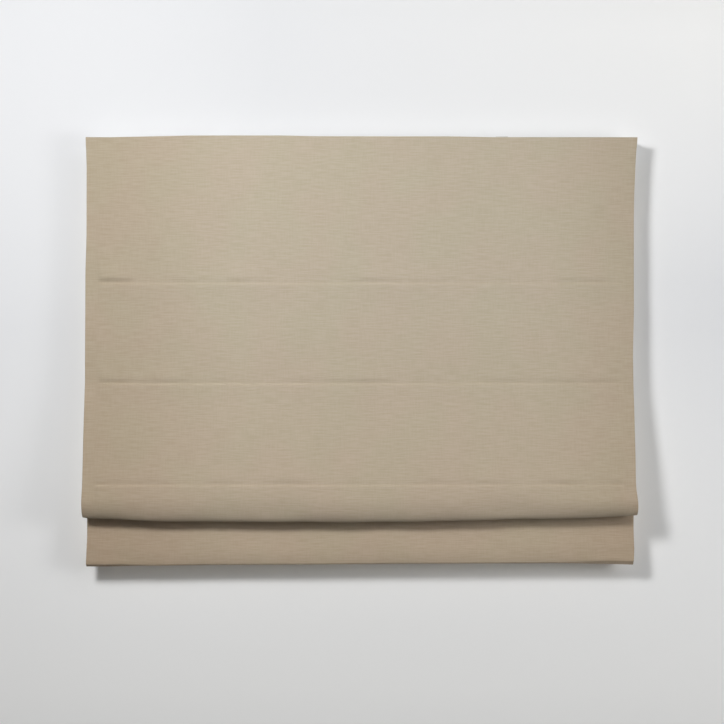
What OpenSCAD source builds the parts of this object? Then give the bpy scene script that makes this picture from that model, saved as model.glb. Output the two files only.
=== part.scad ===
// Roman blind, raised a little, so that one fold hangs in front of its bottom panel.
// Sizes are in millimetres. The wall is the plane y = 0, the room is at minus y, and x runs to the right.
// The origin is the middle of the four wall screw holes.

/* [Cloth] */
// Finished width of the cloth
cloth_w = 1200; // [900:10:1600]
// Thickness of the face cloth
face_t = 0.8; // [0.5:0.1:1.1]
// Thickness of the lining
lining_t = 0.5; // [0.3:0.1:0.8]
// Width of the hems turned in at both sides
side_hem_w = 26; // [18:1:40]
// Height of the hem turned over at the top
top_hem_h = 24; // [20:1:40]
// From the top edge of the cloth to the first rod line
first_drop = 320; // [250:5:420]
// From one rod line to the next
rod_pitch = 220; // [180:5:280]

/* [Fold] */
// How far the fold hangs below the third rod line
fold_drop = 78; // [72:1:110]
// How far the front of the fold stands before the bottom panel
fold_reach = 50; // [44:1:58]
// How far the third rod line stays behind the front of the fold
lean_back = 5; // [3:0.5:8]
// How far the fold pushes the second rod line forward
lean_start = 9; // [4:1:14]
// Gap between the bottom panel and the back of the fold
fold_gap = 8; // [6:0.5:10]
// From the third rod line down to the crest above the fourth rod
crest_drop = 14; // [13:1:20]
// From the crest's bend down to the fourth rod line
crest_to_rod = 4; // [4:0.5:8]
// From the third rod line down to the bottom edge
bottom_drop = 176; // [150:1:240]

/* [Bottom hem] */
// Height of the pocket that is turned up at the bottom
hem_h = 36; // [32:1:50]
// Height of the bottom bar
bar_h = 25; // [18:1:27]
// Thickness of the bottom bar
bar_t = 4; // [3:0.5:6]
// From the edge of the cloth to the end of the bar's cap
bar_inset = 8; // [4:1:30]
// Length of a bar cap
cap_l = 12; // [8:1:20]
// Wall of a bar cap
cap_wall = 0.8; // [0.6:0.1:1]

/* [Rods and rings] */
// Thickness of a stiffening rod
rod_d = 4; // [3:0.5:4.5]
// Wall of the sewn tape that holds a rod
pocket_t = 0.9; // [0.6:0.1:1.1]
// From the end of a rod to the end of its pocket
rod_inset = 6; // [3:1:20]
// Width of a cord ring
ring_od = 10; // [9:0.5:11]
// Thickness of a cord ring's wire
ring_wire_d = 1.8; // [1.4:0.1:2.2]
// Width of the anchor that ends a cord
anchor_d = 6; // [5:0.5:8]
// Height of the anchor
anchor_h = 10; // [8:1:11]

/* [Lift cords] */
// Thickness of a lift cord
cord_d = 1.4; // [1:0.1:1.6]
// From the edge of the cloth to the nearer outer lift cord
cord_inset = 180; // [100:5:280]

/* [Headrail] */
// Depth of the headrail from back to front
rail_d = 45; // [40:0.5:50]
// Height of the headrail
rail_h = 36; // [35:0.5:44]
// Wall of the headrail
rail_wall = 1.4; // [1.2:0.1:1.8]
// Width of the lips along the headrail's open underside
rail_lip = 5; // [4:0.5:5]
// From the wall to the back of the headrail
rail_gap = 8.5; // [4:0.5:12]
// Height of the two ribs that the brackets grip
rib_h = 4; // [4:0.5:6]
// Wall of a rib and its lip
rib_t = 1.2; // [1:0.1:1.4]
// Reach of a rib's lip
rib_lip = 1.6; // [1.2:0.1:2]
// From the headrail's front or back to the nearer rib
rib_inset = 5; // [4.5:0.5:7]
// Height of the headrail's top above the middle of the screw holes
rail_rise = 14; // [13:0.5:17]

/* [Tapes] */
// Height of the hook and loop tapes
tape_h = 20; // [16:1:20]
// Thickness of the hook tape and of the loop tape
tape_t = 1.2; // [0.8:0.1:1.6]

/* [Drive] */
// Width of the square drive shaft
shaft_w = 6; // [5:0.5:6]
// Width of a spool's drum
drum_d = 20; // [16:0.5:21]
// Width of a spool's flanges
flange_d = 27; // [25:0.5:27.5]
// Thickness of a flange
flange_t = 1.5; // [1:0.1:2]
// Length of a spool over its flanges
spool_l = 26; // [24:1:34]
// Width of a spool's journals
journal_d = 10; // [9.5:0.5:11]
// Length of a journal
journal_l = 4; // [3.5:0.5:6]
// Length of drum that the wound cord covers
wound_l = 6; // [4:1:8]
// Thickness of a cradle's bearing walls
cradle_wall = 3; // [2:0.5:3]
// Thickness of a cradle's floor
cradle_floor = 2; // [1.5:0.5:3]
// Width of the hole that lets the cord out of a cradle
cord_hole_d = 4; // [3.5:0.5:4.5]

/* [Control] */
// Pockets around the sprocket
beads = 10; // [8:1:10]
// Distance between two beads of the chain
bead_pitch = 6; // [5.5:0.1:6]
// Width of a bead
bead_d = 4.5; // [4:0.1:4.5]
// Thickness of the sprocket
sprocket_t = 7; // [6.5:0.5:9]
// Wall of the control housing
housing_wall = 2; // [1.6:0.1:2.4]
// Thickness of the control housing's cover
cover_t = 2.5; // [2.5:0.1:4]
// How far the control housing hangs below the headrail
housing_drop = 9; // [7:0.5:14]
// Width of a chain slot
chain_slot = 5.5; // [5.2:0.1:5.8]
// Length of the brake drum inside the headrail
brake_l = 13; // [12:0.5:18]
// Inner width of the brake drum
brake_d = 16.4; // [16:0.2:17]
// Turns of the brake spring
brake_turns = 6; // [4:1:7]
// Wire of the brake spring
brake_wire_d = 1.2; // [1:0.1:1.3]

/* [End cap] */
// Thickness of the left end cap
end_cap_t = 3; // [2:0.5:5]
// Length of the tongues that plug into the headrail
tongue_l = 12; // [8:1:20]
// Thickness of the tongues
tongue_t = 2; // [1.5:0.5:2.5]
// Width of the bush on the shaft's end
bush_d = 11; // [10:0.5:12]
// Length of the bush
bush_l = 8; // [6:0.5:9]

/* [Wall brackets] */
// Width of a bracket
bracket_w = 26; // [20:1:40]
// Thickness of the bracket's sheet
bracket_t = 1.5; // [1.2:0.1:1.6]
// From the edge of the cloth to the middle of the nearer bracket
bracket_inset = 290; // [60:10:400]
// Distance between a bracket's two screw holes
screw_spacing = 18; // [14:1:20]
// Width of a screw hole
screw_d = 5; // [4:0.5:6]

/* [Clearances] */
// Gap between pieces that move past each other
move_gap = 0.3; // [0.25:0.05:0.4]
// Gap between pieces that are pushed together
push_gap = 0.1; // [0.05:0.05:0.15]
// Gap around a turning journal
run_gap = 0.1; // [0.08:0.02:0.2]

/* [Hidden] */
$fn = 48;
cloth_t = 2 * face_t + lining_t;
rail_back_y = -rail_gap;
rail_front_y = rail_back_y - rail_d;
rail_top_z = rail_rise;
rail_bottom_z = rail_top_z - rail_h;
hollow_back_y = rail_back_y - rail_wall;
hollow_front_y = rail_front_y + rail_wall;
hollow_top_z = rail_top_z - rail_wall;
hollow_bottom_z = rail_bottom_z + rail_wall;
mouth_front_y = hollow_front_y + rail_lip;
mouth_back_y = hollow_back_y - rail_lip;
rib_top_z = rail_top_z + rib_h;
front_y = rail_front_y - 2 * tape_t - cloth_t;
top_z = rib_top_z;
row_z = [top_z - first_drop, top_z - first_drop - rod_pitch, top_z - first_drop - 2 * rod_pitch];
fold_z = row_z[2] - fold_drop;
bottom_z = row_z[2] - bottom_drop;
crest_z = row_z[2] - crest_drop - fold_gap / 2 - cloth_t;
row4_z = crest_z - crest_to_rod;
hem_top_z = bottom_z + hem_h;
hem_r = (2 * face_t + lining_t + bar_t + 2 * cap_wall + 2 * move_gap) / 2;
fold_r = (fold_reach - fold_gap) / 2;
fold_h = 0.54 * fold_drop;
fold_c = [fold_gap + fold_r, fold_z + fold_h];

// Points round an arc of an oval, r wide and h high from its middle, in the section's plane
function oval(c, r, h, a0, a1, n) = [for (i = [0:n]) let (a = a0 + (a1 - a0) * i / n) c + [r * cos(a), h * sin(a)]];
// Points round an arc of a circle
function arc(c, r, a0, a1, n) = oval(c, r, r, a0, a1, n);
// A vector of length one
function unit(v) = v / norm(v);
// The direction to the back of the cloth between two points of its section
function back_of(a, b) = let (d = unit(b - a)) [d[1], -d[0]];
// The step to the back at a point of the section, so that layers keep their thickness in the bends
function step_back(p, i) = i == 0 ? back_of(p[0], p[1])
    : i == len(p) - 1 ? back_of(p[i - 1], p[i])
    : let (m = back_of(p[i - 1], p[i]), n = back_of(p[i], p[i + 1])) (m + n) / (1 + m * n);
// The section between two of its points, moved back by d
function layer(p, i0, i1, d) = [for (i = [i0:i1]) p[i] + d * step_back(p, i)];
function turned(p) = [for (i = [len(p) - 1:-1:0]) p[i]];
// From distance in front of the bottom panel to the shared frame
function to_frame(p) = [for (q = p) [front_y - q[0], q[1]]];

row_u = [0, lean_start, fold_reach - lean_back, 0];
lean_to = [row_u[2], row_z[2]];
// From the middle of the fold's oval to the third rod line, with the oval drawn as a circle
fold_v = [lean_to[0] - fold_c[0], (lean_to[1] - fold_c[1]) * fold_r / fold_h];
fold_a = atan2(fold_v[1], fold_v[0]) - acos(fold_r / norm(fold_v));
arc_steps = 18;
bend_steps = 8;
upper_path = [[0, top_z], [0, top_z - face_t], [0, top_z - top_hem_h], [0, row_z[0]], [row_u[1], row_z[1]], lean_to];
fold_path = oval(fold_c, fold_r, fold_h, fold_a, -180, arc_steps);
crest_path = arc([fold_gap / 2, crest_z], fold_gap / 2, 0, 180, bend_steps);
panel_path = [[0, row4_z], [0, hem_top_z], [0, hem_top_z - hem_h / 4]];
hem_path = concat(arc([-hem_r, bottom_z + hem_r], hem_r, 0, -180, bend_steps), [[-2 * hem_r, hem_top_z]]);
cloth_path = concat(upper_path, fold_path, crest_path, panel_path, hem_path);
i_row3 = len(upper_path) - 1;
i_row4 = i_row3 + len(fold_path) + len(crest_path) + 1;
i_hem = i_row4 + 1;
i_tuck = i_row4 + 2;
i_end = len(cloth_path) - 1;

leg_tilt = 90 - atan2(lean_to[1] - fold_path[0][1], fold_path[0][0] - lean_to[0]);
start_tilt = atan(row_u[1] / rod_pitch);
lean_tilt = atan((row_u[2] - row_u[1]) / rod_pitch);
row_tilt = [start_tilt / 2, (start_tilt + lean_tilt) / 2, (lean_tilt + leg_tilt) / 2, 0];
row_levels = [row_z[0], row_z[1], row_z[2], row4_z];
// A point of a rod line's hardware, d behind the front of the cloth
function row_point(k, d) = [front_y - row_u[k] + d * cos(row_tilt[k]), row_levels[k] - d * sin(row_tilt[k])];

pocket_r = rod_d / 2 + push_gap + pocket_t;
pocket_from = face_t + lining_t + move_gap;
pocket_mid = pocket_from + pocket_r;
ring_mid = pocket_from + 2 * pocket_r + push_gap + ring_od / 2;
anchor_mid = pocket_from + 2 * pocket_r + push_gap + anchor_d / 2;
pocket_half = cloth_w / 2 - side_hem_w - 2 * move_gap;
rod_half = pocket_half - rod_inset;
cord_spacing = cloth_w / 2 - cord_inset;
cord_x = [-cord_spacing, 0, cord_spacing];
bracket_x = cloth_w / 2 - bracket_inset;
cord_y = front_y + ring_mid;
axis_y = cord_y + cord_d / 2 + push_gap / 2 + drum_d / 2;
axis_z = (hollow_top_z + hollow_bottom_z) / 2;

chain_r = beads * bead_pitch / (2 * PI);
sprocket_r = chain_r + 0.6;
wheel_room = chain_r + bead_d / 2 + move_gap;
rail_left_x = -cloth_w / 2 + end_cap_t;
housing_w = housing_wall + sprocket_t + 2 * move_gap;
rail_right_x = cloth_w / 2 + 2 - housing_w - cover_t;
housing_x = rail_right_x + housing_w;
housing_bottom_z = rail_bottom_z - housing_drop;
wheel_x = rail_right_x + housing_wall + move_gap;
hub_d = brake_d - 2 * (brake_wire_d + 2 * move_gap);
square_gap = 2 * push_gap;
shaft_left_x = rail_left_x + move_gap;
shaft_right_x = wheel_x + sprocket_t / 2;
cradle_l = spool_l + 2 * move_gap + 2 * cradle_wall;
bar_half = cloth_w / 2 - bar_inset;

// Draws a section in the y-z plane and runs it along x
module along_x(x0, x1) {
    translate([x0, 0, 0])
        rotate([90, 0, 90])
            linear_extrude(x1 - x0)
                children();
}

// A round bar along x, centred on a point of the y-z plane
module round_x(x0, x1, r, y, z) {
    translate([x0, y, z])
        rotate([0, 90, 0])
            cylinder(h = x1 - x0, r = r);
}

// A box given by two corners
module box(low, high) {
    translate(low)
        cube(high - low);
}

// A flat bar's section with round edges
module stadium(h, t, y, z) {
    translate([y - t / 2, z - h / 2 + t / 2])
        square([t, h - t]);
    translate([y, z - h / 2 + t / 2])
        circle(d = t);
    translate([y, z + h / 2 - t / 2])
        circle(d = t);
}

// A section with round corners, from one corner to the other
module round_plate(low, high, r) {
    translate([low[0] + r, low[1]])
        square([high[0] - low[0] - 2 * r, high[1] - low[1]]);
    translate([low[0], low[1] + r])
        square([high[0] - low[0], high[1] - low[1] - 2 * r]);
    for (y = [low[0] + r, high[0] - r], z = [low[1] + r, high[1] - r])
        translate([y, z])
            circle(r = r);
}

// A run of one cloth layer between two points of the section
module cloth_run(i0, i1, d0, d1, x0, x1) {
    along_x(x0, x1)
        polygon(to_frame(concat(layer(cloth_path, i0, i1, d0), turned(layer(cloth_path, i0, i1, d1)))));
}

// The face cloth of a run, with its edges turned round the lining into side hems
module face_run(i0, i1, i_side) {
    half = cloth_w / 2;
    cloth_run(i0, i1, 0, face_t, -half, half);
    for (s = [-1, 1]) {
        edge = s < 0 ? [-half, -half + face_t] : [half - face_t, half];
        hem = s < 0 ? [-half, -half + side_hem_w] : [half - side_hem_w, half];
        cloth_run(i0, i_side, face_t, face_t + lining_t, edge[0], edge[1]);
        cloth_run(i0, i_side, face_t + lining_t, cloth_t, hem[0], hem[1]);
    }
}

// The lining of a run
module lining_run(i0, i1) {
    half = cloth_w / 2 - face_t;
    cloth_run(i0, i1, face_t, face_t + lining_t, -half, half);
}

// A cord or wire of round section along a line of points, each with a side direction
module tube(points, sides, r, n) {
    last = len(points) - 1;
    rings = [for (i = [0:last])
        let (t = unit(points[min(i + 1, last)] - points[max(i - 1, 0)]),
            a = unit(sides[i] - (sides[i] * t) * t),
            b = cross(t, a))
        for (k = [0:n - 1]) points[i] + r * (cos(360 * k / n) * a + sin(360 * k / n) * b)];
    walls = [for (i = [0:last - 1], k = [0:n - 1])
        [i * n + k, (i + 1) * n + k, (i + 1) * n + (k + 1) % n, i * n + (k + 1) % n]];
    ends = [[for (k = [0:n - 1]) k], [for (k = [n - 1:-1:0]) last * n + k]];
    polyhedron(points = rings, faces = concat(walls, ends), convexity = 4);
}

// Extruded channel, open below between two lips, with two ribs on top for the brackets
module headrail() {
    color([0.93, 0.93, 0.92])
        along_x(rail_left_x, rail_right_x)
            union() {
                difference() {
                    translate([rail_front_y, rail_bottom_z])
                        square([rail_d, rail_h]);
                    translate([hollow_front_y, hollow_bottom_z])
                        square([hollow_back_y - hollow_front_y, hollow_top_z - hollow_bottom_z]);
                    translate([mouth_front_y, rail_bottom_z - 1])
                        square([mouth_back_y - mouth_front_y, rail_wall + 2]);
                }
                translate([rail_front_y + rib_inset, rail_top_z - rail_wall / 2])
                    square([rib_t, rib_h + rail_wall / 2]);
                translate([rail_front_y + rib_inset - rib_lip, rib_top_z - rib_t])
                    square([rib_lip + rib_t, rib_t]);
                translate([rail_back_y - rib_inset - rib_t, rail_top_z - rail_wall / 2])
                    square([rib_t, rib_h + rail_wall / 2]);
                translate([rail_back_y - rib_inset - rib_t, rib_top_z - rib_t])
                    square([rib_lip + rib_t, rib_t]);
            }
}

// Tongues that plug a moulding into an end of the headrail
module tongues(x0, x1) {
    low_z = hollow_bottom_z + push_gap;
    high_z = hollow_top_z - push_gap;
    box([x0, hollow_front_y + push_gap, low_z], [x1, hollow_front_y + push_gap + tongue_t, high_z]);
    box([x0, hollow_back_y - push_gap - tongue_t, low_z], [x1, hollow_back_y - push_gap, high_z]);
}

// Moulded cap with a bearing for the shaft's bush
module left_end_cap() {
    boss_end_x = rail_left_x + bush_l;
    color([0.9, 0.9, 0.88])
        difference() {
            union() {
                along_x(rail_left_x - end_cap_t, rail_left_x)
                    round_plate([rail_front_y, rail_bottom_z], [rail_back_y, rail_top_z], 2);
                tongues(rail_left_x - end_cap_t / 2, rail_left_x + tongue_l);
                round_x(rail_left_x - end_cap_t / 2, boss_end_x, bush_d / 2 + 2, axis_y, axis_z);
            }
            round_x(rail_left_x, boss_end_x + 1, bush_d / 2 + run_gap, axis_y, axis_z);
        }
}

// Housing of the chain drive, with two slots below for the chain and a brake drum inside the headrail
module control_housing() {
    color([0.9, 0.9, 0.88])
        difference() {
            union() {
                along_x(rail_right_x, housing_x)
                    round_plate([rail_front_y, housing_bottom_z], [rail_back_y, rail_top_z], 3);
                tongues(rail_right_x - tongue_l, rail_right_x + housing_wall / 2);
                round_x(rail_right_x - brake_l, rail_right_x + housing_wall / 2, brake_d / 2 + 1.6, axis_y, axis_z);
            }
            round_x(rail_right_x + housing_wall, housing_x + 1, wheel_room, axis_y, axis_z);
            round_x(rail_right_x - brake_l - 1, housing_x, brake_d / 2, axis_y, axis_z);
            for (s = [-1, 1])
                box([rail_right_x + housing_wall, axis_y + s * chain_r - chain_slot / 2, housing_bottom_z - 1],
                    [housing_x + 1, axis_y + s * chain_r + chain_slot / 2, axis_z]);
        }
}

// Cover of the chain drive, with a bearing for the sprocket's outer journal
module control_cover() {
    color([0.9, 0.9, 0.88])
        difference() {
            along_x(housing_x, housing_x + cover_t)
                round_plate([rail_front_y, housing_bottom_z], [rail_back_y, rail_top_z], 3);
            round_x(housing_x - 1, housing_x + cover_t - 1, journal_d / 2 + run_gap, axis_y, axis_z);
        }
}

// Sprocket with a round pocket for each bead, a hub for the brake spring and a square bore for the shaft
module chain_sprocket() {
    mid_x = wheel_x + sprocket_t / 2;
    color([0.82, 0.82, 0.8])
        difference() {
            union() {
                round_x(wheel_x, wheel_x + sprocket_t, sprocket_r, axis_y, axis_z);
                round_x(wheel_x - brake_l, wheel_x + sprocket_t / 2, hub_d / 2, axis_y, axis_z);
                round_x(wheel_x + sprocket_t / 2, housing_x + cover_t - 1 - move_gap, journal_d / 2, axis_y, axis_z);
            }
            for (k = [0:beads - 1])
                round_x(mid_x - bead_d / 2, mid_x + bead_d / 2, bead_d / 2,
                    axis_y + chain_r * cos(360 * k / beads), axis_z + chain_r * sin(360 * k / beads));
            box([wheel_x - brake_l - 1, axis_y - (shaft_w + square_gap) / 2, axis_z - (shaft_w + square_gap) / 2],
                [shaft_right_x + push_gap, axis_y + (shaft_w + square_gap) / 2, axis_z + (shaft_w + square_gap) / 2]);
        }
}

// Coil spring round the sprocket's hub that holds the blind where it is left
module brake_spring() {
    r = hub_d / 2 + move_gap + brake_wire_d / 2;
    start_x = wheel_x - brake_l + brake_wire_d;
    run = brake_l - housing_wall - 2 * brake_wire_d;
    n = brake_turns * 12;
    points = [for (i = [0:n]) [start_x + run * i / n, axis_y + r * cos(30 * i), axis_z + r * sin(30 * i)]];
    sides = [for (i = [0:n]) [0, cos(30 * i), sin(30 * i)]];
    color([0.6, 0.6, 0.62])
        tube(points, sides, brake_wire_d / 2, 6);
}

// Square steel shaft through all the spools
module drive_shaft() {
    color([0.7, 0.7, 0.72])
        box([shaft_left_x, axis_y - shaft_w / 2, axis_z - shaft_w / 2],
            [shaft_right_x, axis_y + shaft_w / 2, axis_z + shaft_w / 2]);
}

// Round bush on the shaft's left end
module shaft_end_bush() {
    color([0.82, 0.82, 0.8])
        difference() {
            round_x(shaft_left_x, rail_left_x + bush_l, bush_d / 2, axis_y, axis_z);
            box([shaft_left_x - 1, axis_y - (shaft_w + square_gap) / 2, axis_z - (shaft_w + square_gap) / 2],
                [rail_left_x + bush_l + 1, axis_y + (shaft_w + square_gap) / 2, axis_z + (shaft_w + square_gap) / 2]);
        }
}

// Moulded cradle that clips in the headrail's mouth and carries a spool in two open bearings
module cord_cradle(x) {
    low_z = hollow_bottom_z + push_gap;
    wall_top_z = axis_z + journal_d / 2;
    front = hollow_front_y + move_gap;
    back = hollow_back_y - move_gap;
    leg_low_z = rail_bottom_z - push_gap - 1;
    bearing_r = journal_d / 2 + run_gap;
    x0 = x - cradle_l / 2;
    x1 = x + cradle_l / 2;
    difference() {
        union() {
            box([x0, front, low_z], [x1, back, low_z + cradle_floor]);
            for (a = [x0, x1 - cradle_wall])
                box([a, front, low_z], [a + cradle_wall, back, wall_top_z]);
            for (a = [x0, x1 - cradle_wall]) {
                box([a, mouth_front_y + move_gap, leg_low_z], [a + cradle_wall, mouth_front_y + move_gap + 1.5, low_z + 0.5]);
                box([a, mouth_front_y - 0.8, leg_low_z], [a + cradle_wall, mouth_front_y + move_gap + 0.5, leg_low_z + 1]);
                box([a, mouth_back_y - move_gap - 1.5, leg_low_z], [a + cradle_wall, mouth_back_y - move_gap, low_z + 0.5]);
                box([a, mouth_back_y - move_gap - 0.5, leg_low_z], [a + cradle_wall, mouth_back_y + 0.8, leg_low_z + 1]);
            }
        }
        round_x(x0 - 1, x1 + 1, bearing_r, axis_y, axis_z);
        box([x0 - 1, axis_y - bearing_r, axis_z], [x1 + 1, axis_y + bearing_r, wall_top_z + 1]);
        translate([x, cord_y, low_z - 1])
            cylinder(d = cord_hole_d, h = cradle_floor + 2);
    }
}

// The left cradle
module cord_cradle_left() {
    color([0.88, 0.88, 0.86])
        cord_cradle(cord_x[0]);
}

// The middle cradle
module cord_cradle_centre() {
    color([0.88, 0.88, 0.86])
        cord_cradle(cord_x[1]);
}

// The right cradle
module cord_cradle_right() {
    color([0.88, 0.88, 0.86])
        cord_cradle(cord_x[2]);
}

// Spool with a drum between two flanges, a journal at each end and a square bore
module cord_spool(x) {
    half = spool_l / 2;
    profile = [
        [0, -half - journal_l], [journal_d / 2, -half - journal_l], [journal_d / 2, -half],
        [flange_d / 2, -half], [flange_d / 2, -half + flange_t], [drum_d / 2, -half + flange_t],
        [drum_d / 2, half - flange_t], [flange_d / 2, half - flange_t], [flange_d / 2, half],
        [journal_d / 2, half], [journal_d / 2, half + journal_l], [0, half + journal_l]
    ];
    w = shaft_w + square_gap;
    difference() {
        translate([x, axis_y, axis_z])
            rotate([0, 90, 0])
                rotate_extrude()
                    polygon(profile);
        box([x - half - journal_l - 1, axis_y - w / 2, axis_z - w / 2],
            [x + half + journal_l + 1, axis_y + w / 2, axis_z + w / 2]);
    }
}

// The left spool
module cord_spool_left() {
    color([0.82, 0.82, 0.8])
        cord_spool(cord_x[0]);
}

// The middle spool
module cord_spool_centre() {
    color([0.82, 0.82, 0.8])
        cord_spool(cord_x[1]);
}

// The right spool
module cord_spool_right() {
    color([0.82, 0.82, 0.8])
        cord_spool(cord_x[2]);
}

// The turns of cord that lie side by side on a spool's drum
module wound_cord(x) {
    from_x = x + cord_d / 2 + push_gap;
    turns = floor(wound_l / cord_d);
    difference() {
        translate([from_x, axis_y, axis_z])
            rotate([0, 90, 0])
                rotate_extrude()
                    union() {
                        translate([drum_d / 2 + push_gap / 2, 0])
                            square([cord_d / 2, turns * cord_d]);
                        for (k = [0:turns - 1])
                            translate([drum_d / 2 + push_gap / 2 + cord_d / 2, (k + 0.5) * cord_d])
                                circle(d = cord_d * 0.98, $fn = 16);
                    }
        round_x(from_x - 1, from_x + turns * cord_d + 1, drum_d / 2 + push_gap / 2, axis_y, axis_z);
    }
}

// Cord on the left spool
module wound_cord_left() {
    color([0.95, 0.94, 0.9])
        wound_cord(cord_x[0]);
}

// Cord on the middle spool
module wound_cord_centre() {
    color([0.95, 0.94, 0.9])
        wound_cord(cord_x[1]);
}

// Cord on the right spool
module wound_cord_right() {
    color([0.95, 0.94, 0.9])
        wound_cord(cord_x[2]);
}

// Bent sheet bracket: a wall plate, an arm over the headrail and two hooks round its ribs
module wall_bracket(x) {
    arm_z = rib_top_z + move_gap;
    front_lip_y = rail_front_y + rib_inset - rib_lip - move_gap;
    back_lip_y = rail_back_y - rib_inset + rib_lip + move_gap;
    hook_top_z = rib_top_z - rib_t - move_gap;
    hook_t = min(bracket_t, hook_top_z - rail_top_z - move_gap);
    plate_low_z = -screw_spacing / 2 - screw_d;
    difference() {
        along_x(x - bracket_w / 2, x + bracket_w / 2)
            union() {
                translate([-bracket_t, plate_low_z])
                    square([bracket_t, arm_z + bracket_t - plate_low_z]);
                translate([front_lip_y - bracket_t, arm_z])
                    square([-front_lip_y + bracket_t, bracket_t]);
                translate([front_lip_y - bracket_t, hook_top_z - hook_t])
                    square([bracket_t, arm_z + bracket_t - hook_top_z + hook_t]);
                translate([front_lip_y - bracket_t, hook_top_z - hook_t])
                    square([bracket_t + rib_lip, hook_t]);
                translate([back_lip_y, hook_top_z - hook_t])
                    square([bracket_t, arm_z + bracket_t - hook_top_z + hook_t]);
                translate([back_lip_y - rib_lip, hook_top_z - hook_t])
                    square([bracket_t + rib_lip, hook_t]);
            }
        for (z = [-screw_spacing / 2, screw_spacing / 2])
            translate([x, 1, z])
                rotate([90, 0, 0])
                    cylinder(d = screw_d, h = bracket_t + 2);
    }
}

// The left bracket
module wall_bracket_left() {
    color([0.85, 0.85, 0.86])
        wall_bracket(-bracket_x);
}

// The right bracket
module wall_bracket_right() {
    color([0.85, 0.85, 0.86])
        wall_bracket(bracket_x);
}

// Hook tape stuck on the headrail's front
module hook_tape() {
    color([0.95, 0.95, 0.95])
        box([rail_left_x, rail_front_y - tape_t, rail_top_z - tape_h], [rail_right_x, rail_front_y, rail_top_z]);
}

// Loop tape sewn along the cloth's top hem
module loop_tape() {
    color([0.95, 0.95, 0.95])
        box([rail_left_x, rail_front_y - 2 * tape_t, rail_top_z - tape_h],
            [rail_right_x, rail_front_y - tape_t, rail_top_z]);
}

// Face cloth from the top hem to the third rod line
module upper_face_cloth() {
    half = cloth_w / 2;
    color([0.72, 0.67, 0.6]) {
        face_run(0, i_row3, i_row3);
        cloth_run(0, 1, face_t, face_t + lining_t, -half, half);
        cloth_run(0, 2, face_t + lining_t, cloth_t, -half, half);
    }
}

// Lining from the top hem to the third rod line
module upper_lining() {
    color([0.93, 0.91, 0.86])
        lining_run(1, i_row3);
}

// Face cloth of the fold, from the third rod line to the fourth
module fold_face_cloth() {
    color([0.72, 0.67, 0.6])
        face_run(i_row3, i_row4, i_row4);
}

// Lining of the fold
module fold_lining() {
    color([0.93, 0.91, 0.86])
        lining_run(i_row3, i_row4);
}

// Face cloth of the bottom panel, turned up into an open-ended pocket
module bottom_face_cloth() {
    color([0.72, 0.67, 0.6])
        face_run(i_row4, i_end, i_hem);
}

// Lining of the bottom panel, tucked into the pocket
module bottom_lining() {
    color([0.93, 0.91, 0.86])
        lining_run(i_row4, i_tuck);
}

// Sewn tape with a tunnel for a rod, behind the lining
module rod_pocket(k) {
    color([0.95, 0.94, 0.9])
        along_x(-pocket_half, pocket_half)
            translate([front_y - row_u[k], row_levels[k]])
                rotate(-row_tilt[k])
                    difference() {
                        union() {
                            translate([pocket_mid, 0])
                                circle(r = pocket_r);
                            translate([pocket_from, -0.6 * pocket_r])
                                square([pocket_r, 1.2 * pocket_r]);
                        }
                        translate([pocket_mid, 0])
                            circle(d = rod_d + 2 * push_gap);
                    }
}

// The first pocket tape
module rod_pocket_1() {
    rod_pocket(0);
}

// The second pocket tape
module rod_pocket_2() {
    rod_pocket(1);
}

// The third pocket tape
module rod_pocket_3() {
    rod_pocket(2);
}

// The fourth pocket tape, behind the crest
module rod_pocket_4() {
    rod_pocket(3);
}

// Round stiffening rod in its pocket
module stiffening_rod(k) {
    p = row_point(k, pocket_mid);
    color([0.86, 0.86, 0.8])
        round_x(-rod_half, rod_half, rod_d / 2, p[0], p[1]);
}

// The first rod
module stiffening_rod_1() {
    stiffening_rod(0);
}

// The second rod
module stiffening_rod_2() {
    stiffening_rod(1);
}

// The third rod
module stiffening_rod_3() {
    stiffening_rod(2);
}

// The fourth rod
module stiffening_rod_4() {
    stiffening_rod(3);
}

// Rings that guide the lift cords along a rod line
module cord_rings(k) {
    p = row_point(k, ring_mid);
    color([0.96, 0.96, 0.94])
        for (x = cord_x)
            translate([x, p[0], p[1]])
                rotate_extrude()
                    translate([(ring_od - ring_wire_d) / 2, 0])
                        circle(d = ring_wire_d, $fn = 16);
}

// Rings of the first rod line
module cord_rings_1() {
    cord_rings(0);
}

// Rings of the second rod line
module cord_rings_2() {
    cord_rings(1);
}

// Rings of the third rod line
module cord_rings_3() {
    cord_rings(2);
}

// Barrels on the fourth rod line that hold the ends of the cords
module cord_anchors() {
    p = row_point(3, anchor_mid);
    color([0.96, 0.96, 0.94])
        for (x = cord_x)
            translate([x, p[0], p[1] - anchor_h / 2])
                difference() {
                    cylinder(d = anchor_d, h = anchor_h);
                    translate([0, 0, 2])
                        cylinder(d = cord_d + 2 * push_gap, h = anchor_h);
                }
}

// Lift cord from its spool through the rings of the upper three rod lines
module lift_cord(x) {
    a = row_point(0, ring_mid);
    b = row_point(1, ring_mid);
    c = row_point(2, ring_mid);
    end = c + 0.5 * unit(b - c);
    points = [[x, cord_y, axis_z], [x, a[0], a[1]], [x, b[0], b[1]], [x, end[0], end[1]]];
    color([0.95, 0.94, 0.9])
        tube(points, [for (q = points) [1, 0, 0]], cord_d / 2, 10);
}

// The left lift cord
module lift_cord_left() {
    lift_cord(cord_x[0]);
}

// The middle lift cord
module lift_cord_centre() {
    lift_cord(cord_x[1]);
}

// The right lift cord
module lift_cord_right() {
    lift_cord(cord_x[2]);
}

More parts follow.
